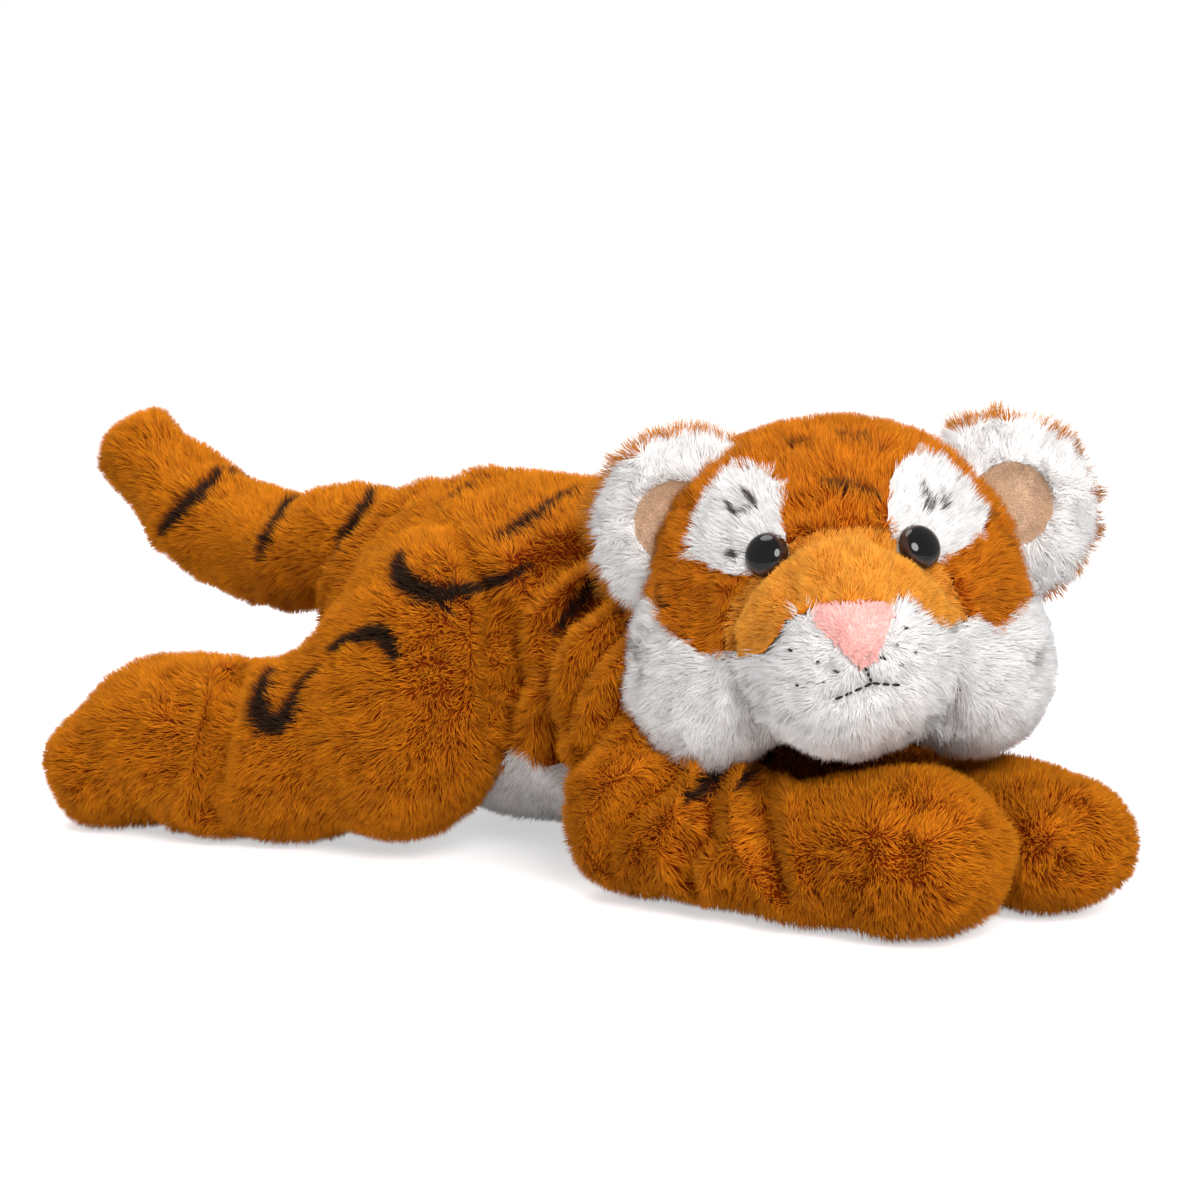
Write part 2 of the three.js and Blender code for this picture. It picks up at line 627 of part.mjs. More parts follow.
// Ear: a padded disc that folds about its seam
const earFrame = (side) => new THREE.Matrix4().compose(
  new THREE.Vector3(side * earSeam.out + earSeam.aside, -earSeam.forward, earSeam.up),
  new THREE.Quaternion().setFromAxisAngle(new THREE.Vector3(0, -1, 0), side * earSeam.lean * degree),
  new THREE.Vector3(1, 1, 1),
);
function earDisc(side, grow, thicken, around) {
  const disc = new THREE.SphereGeometry(1, around, panelSides);
  const size = new THREE.Vector3(ear.radius + grow, ear.halfThickness + thicken, ear.radius + grow);
  const middle = new THREE.Vector3(side * ear.shift, 0, 0);
  const matrix = new THREE.Matrix4().compose(middle, new THREE.Quaternion(), size);
  return solidOf(disc, matrix.multiply(new THREE.Matrix4().makeRotationX(90 * degree)));
}
const earRoot = (side) => beyond(new THREE.Vector3(), new THREE.Vector3(-side, 0, 0), ear.root);
function addEar(name, side) {
  const disc = cutBy(earDisc(side, 0, 0, headSides), earRoot(side));
  const middle = new THREE.Vector3(side * earLining.shift, 0, 0);
  const ahead = middle.clone().add(new THREE.Vector3(0, -ear.radius, 0));
  const lining = rod(ahead, middle, earLining.radius, sides);
  const liningSpace = rod(ahead, middle, earLining.radius + gap, sides);
  const half = new THREE.Vector3(0, gap / 2, 0);
  const front = cutBy(disc, beyond(half, new THREE.Vector3(0, 1, 0), -gap));
  const back = cutBy(disc, beyond(half, new THREE.Vector3(0, -1, 0), 0));
  const frame = new THREE.Group();
  frame.applyMatrix4(earFrame(side));
  frame.add(meshOf(`ear_back_${name}`, back, orangePlush));
  frame.add(meshOf(`ear_trim_${name}`, cutBy(front, liningSpace), whitePlush));
  frame.add(meshOf(`ear_lining_${name}`, front.intersect(lining), beigeVelour));
  headGroup.add(frame);
}
function earGroove(side) {
  const thicken = clearing(ear.halfThickness, panelSides) + gap;
  const space = earDisc(side, clearing(ear.radius, ballSides), thicken, ballSides);
  const root = beyond(new THREE.Vector3(), new THREE.Vector3(-side, 0, 0), ear.root + gap);
  const folds = steps(-earFoldRange, earFoldRange, poseSteps)
    .map((angle) => turnAbout(new THREE.Vector3(), upAxis, angle));
  return turned(joined(...folds.map((fold) => turned(cutBy(space, root), fold))), earFrame(side));
}

// Head: the skin's panels, the stuffing, the eyes, the threads and the ears
function addHead() {
  const halfTurned = turnAbout(neckPoint, nodAxis, headNodRange / 2)
    .multiply(turnAbout(neckPoint, upAxis, -neckTurnRange / 2));
  const collarSpace = swingRoom(
    neckPoint, collarBack.clone().applyMatrix4(halfTurned), collar.radius, neckTurnRange / 2,
  );
  const cutters = [
    turned(joined(socket(neckPoint, neck.radius), collarSpace), headInverse),
    earGroove(-1), earGroove(1),
  ];
  const eyes = [-1, 1].map((side) => standing(side * eye.out, eye.up, eye.sunk));
  const eyeHoles = eyes.map((seat) => solidOf(eyeButton(gap), seat));
  const washerSpaces = eyes.map((seat) => solidOf(washer(gap), seat));
  const whiskerGrooves = [-1, 1].map((side) => whiskerThread(side, gap));
  const outer = cutBy(headForm(0, headSides), ...cutters);
  const shell = cutBy(outer, headForm(-pileFabric, ballSides), ...eyeHoles, ...washerSpaces);
  const filling = cutBy(headForm(-pileFabric - gap, ballSides), ...cutters, ...eyeHoles, ...washerSpaces);

  const half = gap / 2;
  const muzzleSpace = ovalPrism(muzzlePanel, 1, gap, muzzlePanel.back - gap);
  const muzzlePart = shell.intersect(ovalPrism(muzzlePanel, 1, 0, muzzlePanel.back));
  const [corner, seam] = [new THREE.Vector3(far, far, far), muzzlePanel.seamUp];
  const aboveSeam = block(new THREE.Vector3(-far, -far, seam + half), corner);
  const belowSeam = block(corner.clone().negate(), new THREE.Vector3(far, far, seam - half));
  const noseSpace = nosePrism(gap);
  const patchSpaces = [-1, 1].map((side) => ovalPrism(eyePatch, side, gap));
  const lowFront = block(new THREE.Vector3(-far, -far, -far),
    new THREE.Vector3(far, -cheekPanel.back + half, cheekPanel.top + half));
  const rest = cutBy(shell, muzzleSpace);
  headGroup.add(meshOf('head_skin', cutBy(rest, ...patchSpaces, lowFront), orangePlush));
  const bridge = cutBy(muzzlePart.intersect(aboveSeam), noseSpace, ...patchSpaces, ...whiskerGrooves);
  const snout = cutBy(muzzlePart.intersect(belowSeam), noseSpace, ...whiskerGrooves);
  headGroup.add(meshOf('muzzle_bridge', bridge, orangeShort));
  headGroup.add(meshOf('snout', snout, whitePlush));
  headGroup.add(meshOf('nose', shell.intersect(nosePrism(0)), pinkVelour));
  headGroup.add(meshOf('head_stuffing', filling, fibre));
  headGroup.add(meshOf('mouth_thread', mouthThread(), blackThread));
  for (const [index, name, side] of [[0, 'right', -1], [1, 'left', 1]]) {
    const [low, high] = side > 0 ? [half, far] : [-far, -half];
    const cheekSpace = block(new THREE.Vector3(low, -far, -far),
      new THREE.Vector3(high, -cheekPanel.back - half, cheekPanel.top - half));
    const patch = cutBy(shell.intersect(ovalPrism(eyePatch, side, 0)), muzzleSpace);
    headGroup.add(meshOf(`cheek_${name}`, cutBy(rest, ...patchSpaces).intersect(cheekSpace), whitePlush));
    headGroup.add(meshOf(`eye_patch_${name}`, patch, whitePlush));
    headGroup.add(meshOf(`eye_${name}`, solidOf(eyeButton(0), eyes[index]), eyePlastic));
    headGroup.add(meshOf(`eye_washer_${name}`, solidOf(washer(0), eyes[index]), washerPlastic));
    headGroup.add(meshOf(`whisker_thread_${name}`, whiskerThread(side, 0), blackThread));
    addEar(name, side);
  }
}

for (const [name, side] of [['right', -1], ['left', 1]]) {
  addForeleg(name, side);
  addHindLeg(name, side);
}
addTail();
addTorso();
addHead();

export default group;
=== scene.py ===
import math

import bpy
import numpy as np
from mathutils import Matrix, Vector
from mathutils.bvhtree import BVHTree


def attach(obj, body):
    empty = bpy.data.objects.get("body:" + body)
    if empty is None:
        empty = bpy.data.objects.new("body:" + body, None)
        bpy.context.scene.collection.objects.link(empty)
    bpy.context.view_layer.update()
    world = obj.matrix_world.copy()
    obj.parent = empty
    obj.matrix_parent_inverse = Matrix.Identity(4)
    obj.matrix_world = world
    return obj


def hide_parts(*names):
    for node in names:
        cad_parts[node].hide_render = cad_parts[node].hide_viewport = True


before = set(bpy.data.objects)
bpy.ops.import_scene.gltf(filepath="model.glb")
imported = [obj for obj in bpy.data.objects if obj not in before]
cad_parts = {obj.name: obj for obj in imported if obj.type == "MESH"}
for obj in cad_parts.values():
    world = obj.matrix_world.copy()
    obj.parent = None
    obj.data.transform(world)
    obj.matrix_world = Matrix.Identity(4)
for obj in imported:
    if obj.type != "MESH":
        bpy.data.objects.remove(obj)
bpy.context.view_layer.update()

METRES = 0.001
LENGTH_SHIFT = -7.4

# The photograph's camera
IMAGE_SIDE = 1200
FOCAL_PIXELS = 4185
CAMERA_AZIMUTH = -48
CAMERA_ELEVATION = 9
CAMERA_DISTANCE = 1500
CAMERA_TARGET = (17, LENGTH_SHIFT, 85)
SENSOR_WIDTH = 36

# Stations of the limbs: out, forward, up, half width, half height
CHEST = (0, 62, 64, 49, 52)
RIBS = (0, 22, 69.5, 57, 61.5)
WAIST = (0, -22, 70, 56, 62.5)
LOIN = (0, -62, 74, 49, 58)
RUMP = (0, -86, 90, 31, 42)
SHOULDER = (43, 70, 73, 27, 27)
ELBOW = (50, 85, 31, 31.5, 31.5)
UPPER_END = (50, 85, 31, 27.1, 27.1)
WRIST = (45, 131, 23, 27, 23.5)
RIGHT_PAW = (38, 181, 27.5, 30, 28)
LEFT_PAW = (25, 188, 24, 29.5, 24.5)
HOCK = (76, -94, 32.5, 33, 33)
INSTEP = (85, -118, 32.5, 33, 33)
FOOT = (92, -135, 24.5, 29.5, 25)
TAIL_ROOT = (0, -99, 99, 24.5, 24.5)
TAIL_SAG = (0, -128, 92.5, 23, 23)
TAIL_JOINT = (0, -156, 91, 22.5, 22.5)
TAIL_RISE = (0, -184, 98, 22, 22)
TAIL_BEND = (0, -207, 109, 20, 20)
TAIL_TIP = (0, -223.5, 121.5, 17.5, 17.5)
NECK = (0, 90, 94)
NECK_RADIUS = 24

# Lengths of the caps at a limb's two ends; None takes the half width there
TORSO_CAPS = (15, 17)
PAW_CAPS = (None, 35)
FOOT_CAPS = (None, 29)
TAIL_CAPS = (None, 17)
PAW_BLUNTNESS = 0.75

# Axes that an outermost skin is cast round, and how far the forms reach
TORSO_AXIS = ((0, 36, 66), (0, -66, 78))
FOOT_AXIS = (HOCK, (88, -126, 29))
TORSO_REACH, FOOT_REACH, THIGH_REACH, HEAD_REACH = 52, 32, 46, 56

# Swellings: out, forward, up, half width, half length, half height
HAUNCH = (50, -14, 78, 35, 34, 39)
THIGH = (60, -27, 49, 33, 42, 44)
KNEE = (69, -71, 33.5, 33, 34, 34)
SKULL = (0, -4, 4, 62, 52, 54.5)
CHEEK = (43, 0, -26, 29, 31, 33)
MUZZLE = (1, 35, -13, 35, 34, 37)
HEAD = (-15, 134, 106)
HEAD_TURN = -47
HEAD_TILT = 3
HEAD_BLEND = 4
THIGH_BLEND = 5

# How fine the surfaces are, and how closely they are searched for
SPACING = 2.4
HEAD_SPACING = 2.2
EAR_SPACING = 1.8
TINY, FAR = 1e-9, 1e9
CURVE_STEP = 1e-3
ROWS_PER_SPAN, SAMPLES_PER_STATION = 3, 12
FAR_REACHES, OUTSIDE_REACHES = 4, 3.0
HALVINGS, FINE_HALVINGS = 24, 40
FACE_REACH, SLOPE_STEP = 150.0, 0.3
WAVE_SPREAD = (0.6, 1.5)

SIDES = (("right", -1), ("left", 1))
PAW_ENDS = {-1: RIGHT_PAW, 1: LEFT_PAW}
UP = np.array([0.0, 0.0, 1.0])


# Small vector helpers on rows of points
def unit(v):
    return v / np.maximum(np.linalg.norm(v, axis=-1, keepdims=True), TINY)


def place(at, side=1):
    return np.array([side * at[0], LENGTH_SHIFT - at[1], at[2]], float)


def smooth_step(low, high, x):
    t = np.clip((x - low) / (high - low), 0, 1)
    return t * t * (3 - 2 * t)


def rotation(degrees, axis):
    return np.array(Matrix.Rotation(math.radians(degrees), 3, axis))


class Waves:
    """Smooth random values over space, a sum of plane waves."""

    def __init__(self, seed, wavelength, count=20):
        rng = np.random.default_rng(seed)
        way = unit(rng.normal(size=(3, count)).T).T
        self.waves = way * (2 * np.pi / wavelength) * rng.uniform(*WAVE_SPREAD, count)
        self.phase = rng.uniform(0, 2 * np.pi, count)
        self.share = math.sqrt(2 / count)

    def __call__(self, points):
        return np.sin(points @ self.waves + self.phase).sum(-1) * self.share


def wave_vectors(seed, wavelength, points):
    return np.stack([Waves(seed + k, wavelength)(points) for k in range(3)], -1)


# Head frame
HEAD_ROTATION = rotation(HEAD_TURN, "Z") @ rotation(HEAD_TILT, Vector((0, -1, 0)))
HEAD_PLACE = place(HEAD)


def to_head(points):
    return (points - HEAD_PLACE) @ HEAD_ROTATION


def from_head(points):
    return np.asarray(points, float) @ HEAD_ROTATION.T + HEAD_PLACE


# A Catmull-Rom line through a row of values
def along(values, t):
    values = np.asarray(values, float)
    last = len(values) - 1
    row = np.concatenate([[2 * values[0] - values[1]], values, [2 * values[-1] - values[-2]]])
    span = np.clip(np.floor(t).astype(int), 0, last - 1)
    a, b, c, d = (row[span + k] for k in range(4))
    x = (t - span)[:, None]
    return b + x / 2 * (c - a + x * (2 * a - 5 * b + 4 * c - d + x * (3 * (b - c) + d - a)))


# Surfaces: points, triangles and a flat map of each triangle's corners
def face_normals(points, tris):
    corners = points[tris]
    return np.cross(corners[:, 1] - corners[:, 0], corners[:, 2] - corners[:, 0])


def flat_map(*pairs):
    return np.stack([np.stack(np.broadcast_arrays(*pair), -1) for pair in pairs], 1)


def grid_surface(rings, start, end):
    """A closed skin through rings of points, with a point at each end."""
    rows, around, _ = rings.shape
    points = np.concatenate([rings.reshape(-1, 3), [start, end]])
    i, j = np.meshgrid(np.arange(rows - 1), np.arange(around), indexing="ij")
    i, j = i.ravel(), j.ravel()
    k = (j + 1) % around
    a, b, c, d = i * around + j, i * around + k, (i + 1) * around + j, (i + 1) * around + k
    u0, u1 = j / around, (j + 1) / around
    v0, v1 = (i + 1) / (rows + 1), (i + 2) / (rows + 1)
    first = rows * around
    last = first - around
    j = np.arange(around)
    k = (j + 1) % around
    tris = np.concatenate([
        np.stack([a, b, c], -1), np.stack([b, d, c], -1),
        np.stack([np.full(around, first), k, j], -1),
        np.stack([np.full(around, first + 1), last + j, last + k], -1),
    ])
    low, high = 1 / (rows + 1), rows / (rows + 1)
    middle, left, right = (j + 0.5) / around, j / around, (j + 1) / around
    maps = np.concatenate([
        flat_map((u0, v0), (u1, v0), (u0, v1)), flat_map((u1, v0), (u1, v1), (u0, v1)),
        flat_map((middle, 0.0), (right, low), (left, low)),
        flat_map((middle, 1.0), (left, high), (right, high)),
    ])
    outward = face_normals(points, tris) * (points[tris].mean(1) - points.mean(0))
    if outward.sum() < 0:
        tris, maps = tris[:, ::-1], maps[:, ::-1]
    return points, tris, maps


def limb(stations, side, caps=(None, None), bluntness=1):
    """Rings swept along a curved row of stations, with a round cap at each end."""
    points = np.array([place(at, side) for at in stations])
    wide = np.array([[at[3], at[4]] for at in stations], float)
    spans = len(stations) - 1
    length = np.linalg.norm(np.diff(points, axis=0), axis=1).sum()
    around = int(2 * np.pi * wide.mean() / SPACING)
    rows = max(int(length / SPACING), spans * ROWS_PER_SPAN)
    cap_rows = int(np.pi / 2 * wide.mean() / SPACING)
    angle = np.linspace(0, np.pi / 2, cap_rows + 1)[1:-1]
    back = angle[::-1]
    t = np.linspace(0, spans, rows + 1)
    centres, radii = along(points, t), along(wide, t)
    ways = unit(along(points, t + CURVE_STEP) - along(points, t - CURVE_STEP))
    cap_length = [caps[k] if caps[k] else wide[-k, 0] for k in (0, 1)]
    before = centres[0] - np.outer(cap_length[0] * np.sin(back), ways[0])
    after = centres[-1] + np.outer(cap_length[1] * np.sin(angle) ** bluntness, ways[-1])
    narrowing = (np.cos(angle) ** bluntness)[:, None]
    all_centres = np.concatenate([before, centres, after])
    all_radii = np.concatenate([np.cos(back)[:, None] * radii[0], radii, narrowing * radii[-1]])
    first_ways, last_ways = (np.tile(way, (len(angle), 1)) for way in (ways[0], ways[-1]))
    all_ways = np.concatenate([first_ways, ways, last_ways])
    across = unit(np.cross(all_ways, UP))
    upward = unit(np.cross(across, all_ways))
    turn = np.linspace(0, 2 * np.pi, around, endpoint=False)
    rings = (
        all_centres[:, None]
        + across[:, None] * (all_radii[:, :1] * np.cos(turn))[..., None]
        + upward[:, None] * (all_radii[:, 1:] * np.sin(turn))[..., None]
    )
    start = centres[0] - ways[0] * cap_length[0]
    end = centres[-1] + ways[-1] * cap_length[1]
    return grid_surface(rings, start, end)


def wrapped(surface, start, end, reach):
    """The outermost skin round an axis, for a form whose swept rings cross each other."""
    tree = tree_of(surface)
    way = unit(end - start)
    across = unit(np.cross(way, UP))
    upward = np.cross(across, way)
    length = np.linalg.norm(end - start)
    around, rows = int(2 * np.pi * reach / SPACING), int(length / SPACING)
    cap_rows = int(np.pi / 2 * reach / SPACING)
    bend = np.linspace(0, np.pi / 2, cap_rows + 2)[1:-1]
    tilt = np.concatenate([-bend[::-1], np.zeros(rows + 1), bend])
    share = np.concatenate([np.zeros(cap_rows), np.linspace(0, 1, rows + 1), np.ones(cap_rows)])
    turn = np.linspace(0, 2 * np.pi, around, endpoint=False)
    side_ways = across * np.cos(turn)[:, None] + upward * np.sin(turn)[:, None]
    ways = way * np.sin(tilt)[:, None, None] + side_ways * np.cos(tilt)[:, None, None]
    origins = start + (end - start) * share[:, None, None] + 0 * ways
    far = FAR_REACHES * reach

    def outermost(origin, direction):
        hit = tree.ray_cast(Vector(origin + direction * far), Vector(-direction))[0]
        return np.array(hit if hit is not None else origin)

    rings = np.array([[outermost(o, w) for o, w in zip(*row)] for row in zip(origins, ways)])
    return grid_surface(rings, outermost(start, -way), outermost(end, way))


def limb_depth(stations, side, caps=(None, None)):
    """How far points lie outside a limb's swept form, found at its nearest station."""
    points = np.array([place(at, side) for at in stations])
    wide = np.array([[(at[3] + at[4]) / 2] for at in stations], float)
    t = np.linspace(0, len(stations) - 1, SAMPLES_PER_STATION * len(stations))
    centres, radii = along(points, t), along(wide, t)[:, 0]
    ways = unit(np.gradient(centres, axis=0))
    lengths = [caps[k] if caps[k] else wide[-k, 0] for k in (0, 1)]

    def depth(p):
        best = np.full(len(p), FAR)
        nearest = np.zeros(len(p), int)
        for i, centre in enumerate(centres):
            distance = np.linalg.norm(p - centre, axis=1)
            closer = distance < best
            best[closer], nearest[closer] = distance[closer], i
        offset = p - centres[nearest]
        level = (offset * ways[nearest]).sum(1)
        radial = np.linalg.norm(offset - level[:, None] * ways[nearest], axis=1) - radii[nearest]
        over = np.where(nearest == 0, -level - lengths[0], -FAR)
        over = np.where(nearest == len(centres) - 1, level - lengths[1], over)
        return np.maximum(radial, over)

    return depth


def field_depth(ovals, blend, side=1, head=False):
    """How far points lie outside ovals that melt into each other."""
    parts = []
    for at in ovals:
        centre = np.array([at[0], -at[1], at[2]], float) if head else place(at, side)
        parts.append((centre, np.array(at[3:6], float)))

    def depth(p):
        total = 0
        for centre, radii in parts:
            distance = (np.linalg.norm((p - centre) / radii, axis=-1) - 1) * radii.min()
            total = total + np.exp(-distance / blend)
        return -blend * np.log(total)

    return depth


def ball_ways(reach, spacing):
    """Rings of directions over a ball, from its top to its bottom."""
    around, rows = int(2 * np.pi * reach / spacing), int(np.pi * reach / spacing)
    down = np.pi * np.arange(1, rows) / rows
    turn = 2 * np.pi * np.arange(around) / around
    return np.stack([
        np.outer(np.sin(down), np.cos(turn)), np.outer(np.sin(down), np.sin(turn)),
        np.outer(np.cos(down), np.ones(around)),
    ], -1)


def swelling(middle, depth, spacing, reach):
    """The skin where a depth is zero, found along rays from its middle."""
    rings = ball_ways(reach, spacing)
    ways = np.concatenate([rings.reshape(-1, 3), [UP, -UP]])
    inside, outside = np.zeros(len(ways)), np.full(len(ways), OUTSIDE_REACHES * reach)
    for _ in range(HALVINGS):
        half = (inside + outside) / 2
        out = depth(middle + ways * half[:, None]) > 0
        outside = np.where(out, half, outside)
        inside = np.where(out, inside, half)
    points = middle + ways * inside[:, None]
    return grid_surface(points[:-2].reshape(rings.shape), points[-2], points[-1])


def corner_normals(points, tris):
    normal = face_normals(points, tris)
    total = np.zeros_like(points)
    for k in range(3):
        for axis in range(3):
            total[:, axis] += np.bincount(tris[:, k], normal[:, axis], len(points))
    return unit(total)


def merged(surfaces):
    points, tris, maps, start = [], [], [], 0
    for surface in surfaces:
        points.append(surface[0])
        tris.append(surface[1] + start)
        maps.append(surface[2])
        start += len(surface[0])
    return np.concatenate(points), np.concatenate(tris), np.concatenate(maps)


def tree_of(*surfaces):
    points, tris, _ = merged(surfaces)
    return BVHTree.FromPolygons(points.tolist(), tris.tolist())


# The photograph's view, for placing marks where its pixels meet the surface
azimuth, elevation = math.radians(CAMERA_AZIMUTH), math.radians(CAMERA_ELEVATION)
level = math.cos(elevation)
TOWARD = np.array([math.sin(azimuth) * level, -math.cos(azimuth) * level, math.sin(elevation)])
RIGHT = np.array([math.cos(azimuth), math.sin(azimuth), 0.0])
ABOVE = np.cross(TOWARD, RIGHT)
EYE_POINT = np.array(CAMERA_TARGET) + TOWARD * CAMERA_DISTANCE


def cast(tree, pixel):
    """Where the sight line of a pixel meets a surface."""
    half = IMAGE_SIDE / 2
    way = unit(-TOWARD * FOCAL_PIXELS + RIGHT * (pixel[0] - half) + ABOVE * (half - pixel[1]))
    hit = tree.ray_cast(Vector(EYE_POINT), Vector(way))[0]
    return None if hit is None else np.array(hit)


LINE_STEPS, LINE_GAP = 4, 9


def line_on(tree, marks):
    """A line laid over a surface, from rows of pixel x, pixel y and half width."""
    marks = np.array(marks, float)
    t = np.linspace(0, len(marks) - 1, (len(marks) - 1) * LINE_STEPS + 1)
    rows = [(cast(tree, m[:2]), m[2]) for m in along(marks, t)]
    return [(p, w) for p, w in rows if p is not None]


def line_distance(line, points):
    """How far points lie from a line of varying half width, as a share of that half width."""
    best = np.full(len(points), FAR)
    for (a, wa), (b, wb) in zip(line, line[1:]):
        way = b - a
        if np.linalg.norm(way) > LINE_GAP:
            continue
        t = np.clip((points - a) @ way / max(way @ way, TINY), 0, 1)
        distance = np.linalg.norm(points - a - t[:, None] * way, axis=1)
        best = np.minimum(best, distance / (wa + (wb - wa) * t))
    return best


def mirrored(line):
    return [(p * np.array([-1, 1, 1]), w) for p, w in line]


def linear(r, g, b):
    """Linear light from a screen colour, by the standard curve."""
    c = np.array([r, g, b], float) / 255
    return np.where(c <= 0.04045, c / 12.92, ((c + 0.055) / 1.055) ** 2.4)


# Coat colours of each fabric, at the root and at the tip of a strand: the root is darker as painted shade
# deep in the pile, the tip lighter as painted light on the tips
ORANGE = [linear(124, 46, 0), linear(240, 142, 18)]
# The ear back's orange, lighter as painted backlight along the ear's rim
BACKLIT_RIM_ORANGE = [linear(196, 106, 14), linear(240, 158, 56)]
FACE_ORANGE = [linear(146, 60, 0), linear(228, 134, 22)]
BRIDGE_ORANGE = [linear(204, 116, 22), linear(240, 164, 64)]
WHITE = [linear(232, 226, 223), linear(252, 251, 250)]
BLACK = [linear(20, 12, 8), linear(58, 38, 24)]
GREY = [linear(90, 86, 86), linear(150, 146, 146)]
PINK = [linear(248, 176, 168), linear(255, 200, 192)]
BEIGE = [linear(200, 164, 134), linear(230, 198, 170)]


class Coat:
    """How a panel's pile stands: its depth, lean, flow, strands, clumps and colours."""

    depth, lean, width, density = 5.0, 34, 0.4, 2.0
    clump, gather, jitter, sway, ripple = 2.5, 0.3, 0.13, 0.35, 0.08
    round_share, tip_share, overhang = 0.45, 0.25, 1.0
    marks = ()

    def __init__(self, colours, flow, **settings):
        self.colours, self.flow = colours, flow
        for name, value in settings.items():
            setattr(self, name, value)

    def depth_at(self, points):
        depth = self.depth(points) if callable(self.depth) else self.depth
        return np.broadcast_to(depth, (len(points),))[:, None]


def scatter(points, tris, density, rng, keep):
    """Random roots over a surface: their triangles, and their places in them."""
    area = np.linalg.norm(face_normals(points, tris), axis=1) / 2
    share = area * keep(points[tris].mean(1))
    count = int(share.sum() * density)
    edges = np.cumsum(share) * density
    at = (np.arange(count) + rng.random(count)) * (edges[-1] / max(count, 1))
    tri = np.clip(np.searchsorted(edges, at), 0, len(tris) - 1)
    u, v = rng.random(count), rng.random(count)
    over = u + v > 1
    u[over], v[over] = 1 - u[over], 1 - v[over]
    return tri, np.stack([1 - u - v, u, v], -1)


GROUND_LIFT = 0.4
DENSITY_SHARE = 1.0
MOST_STRANDS = 56000

# How strands vary and bend
SWAY_WAVE, FLICK_WAVE, FLICK_SHARE = 26, 8, 0.8
LEAN_WAVE, LEAN_SHARE, MOST_LEAN = 14, 0.3, 80
CELL_WAVE, CELL_STRAY = 6, 1.2
CELL_KEYS = (73856093, 19349663, 83492791)
LENGTH_SHARE, STRETCHED_LEAN, SHORTEST = 1.12, 0.9, 0.4
LOW_LEAN_SHARE, HIGH_LEAN_SHARE, HIGH_JITTER_SHARE = 0.6, 1.35, 1.5
PULL_SHARES, WIDTH_SHARES = (0.3, 1), (0.75, 1.2)
TOP_SHARE, TIP_SHARE = 0.4, 0.6


def strands(points, tris, coat, seed, keep, own=None):
    """Bent strands over a surface: points, triangles, colours and normals."""
    normals = corner_normals(points, tris)
    rng = np.random.default_rng(seed)
    tri, mix = scatter(points, tris, coat.density * DENSITY_SHARE, rng, keep)
    if len(tri) > MOST_STRANDS:
        chosen = np.sort(rng.choice(len(tri), MOST_STRANDS, replace=False))
        tri, mix = tri[chosen], mix[chosen]
    top = (points[tris[tri]] * mix[..., None]).sum(1)
    if own is not None:
        mine = own(top)
        top, tri, mix = top[mine], tri[mine], mix[mine]
    normal = unit((normals[tris[tri]] * mix[..., None]).sum(1))
    count = len(top)
    depth = coat.depth_at(top)
    root = top - normal * depth
    sway = wave_vectors(seed + 10, SWAY_WAVE, top) * coat.sway
    flick = wave_vectors(seed + 20, FLICK_WAVE, top) * coat.sway * FLICK_SHARE
    flow = coat.flow(top) + sway + flick
    flow = unit(flow - normal * (flow * normal).sum(1)[:, None])
    lean = np.radians(coat.lean * (1 + LEAN_SHARE * Waves(seed + 30, LEAN_WAVE)(top)))
    lean = np.clip(lean, 0, np.radians(MOST_LEAN))[:, None]
    stray = wave_vectors(seed + 40, CELL_WAVE, top) * CELL_STRAY
    cell = np.floor((top + stray) / coat.clump).astype(np.int64)
    _, cell = np.unique(cell @ np.array(CELL_KEYS), return_inverse=True)
    cells = cell.max() + 1
    upright = np.cos(np.minimum(lean[:, 0], STRETCHED_LEAN))
    length = depth[:, 0] * (LENGTH_SHARE + coat.ripple * rng.normal(size=count)) / upright
    length = length * (1 + coat.ripple * rng.normal(size=cells)[cell])
    length = np.maximum(length * coat.overhang, SHORTEST)[:, None]
    loose = rng.normal(size=(count, 3)) * coat.jitter
    low_lean, high_lean = lean * LOW_LEAN_SHARE, lean * HIGH_LEAN_SHARE
    low = unit(normal * np.cos(low_lean) + flow * np.sin(low_lean) + loose)
    high = unit(normal * np.cos(high_lean) + flow * np.sin(high_lean) + loose * HIGH_JITTER_SHARE)
    tip = root + low * length * 0.5 + high * length * 0.5
    weight = np.bincount(cell, minlength=cells)
    gathered = np.stack([np.bincount(cell, tip[:, k], cells) / weight for k in range(3)], -1)[cell]
    tip = tip + (gathered - tip) * (coat.gather * rng.uniform(*PULL_SHARES, count))[:, None]
    way = unit(tip - root)
    sideways = unit(np.cross(way, rng.normal(size=(count, 3))))
    across = np.cross(way, sideways)
    wide = coat.width * rng.uniform(*WIDTH_SHARES, count)[:, None] / math.sqrt(3)
    turns = 2 * np.pi * np.arange(3) / 3
    ring = [sideways * math.cos(turn) + across * math.sin(turn) for turn in turns]
    rows = np.stack([root + side * wide for side in ring] + [tip], 1)
    rows[..., 2] = np.maximum(rows[..., 2], GROUND_LIFT)
    start = np.arange(count)[:, None] * 4
    faces = np.concatenate([start + [0, 1, 3], start + [1, 2, 3], start + [2, 0, 3]], 1)
    shades = [unit(normal + side * coat.round_share) for side in ring]
    shades = np.stack(shades + [unit(normal + way * coat.tip_share)], 1)
    colours = coat_colours(coat, top * TOP_SHARE + tip * TIP_SHARE, cell, cells, rng)
    return rows.reshape(-1, 3), faces.reshape(-1, 3), colours.reshape(-1, 3), shades.reshape(-1, 3)


MARK_RAGGED = 0.22
CELL_TINT, STRAND_TINT, TINT_LIMITS = 0.10, 0.10, (0.5, 1.5)
BRIGHTEST = 0.97


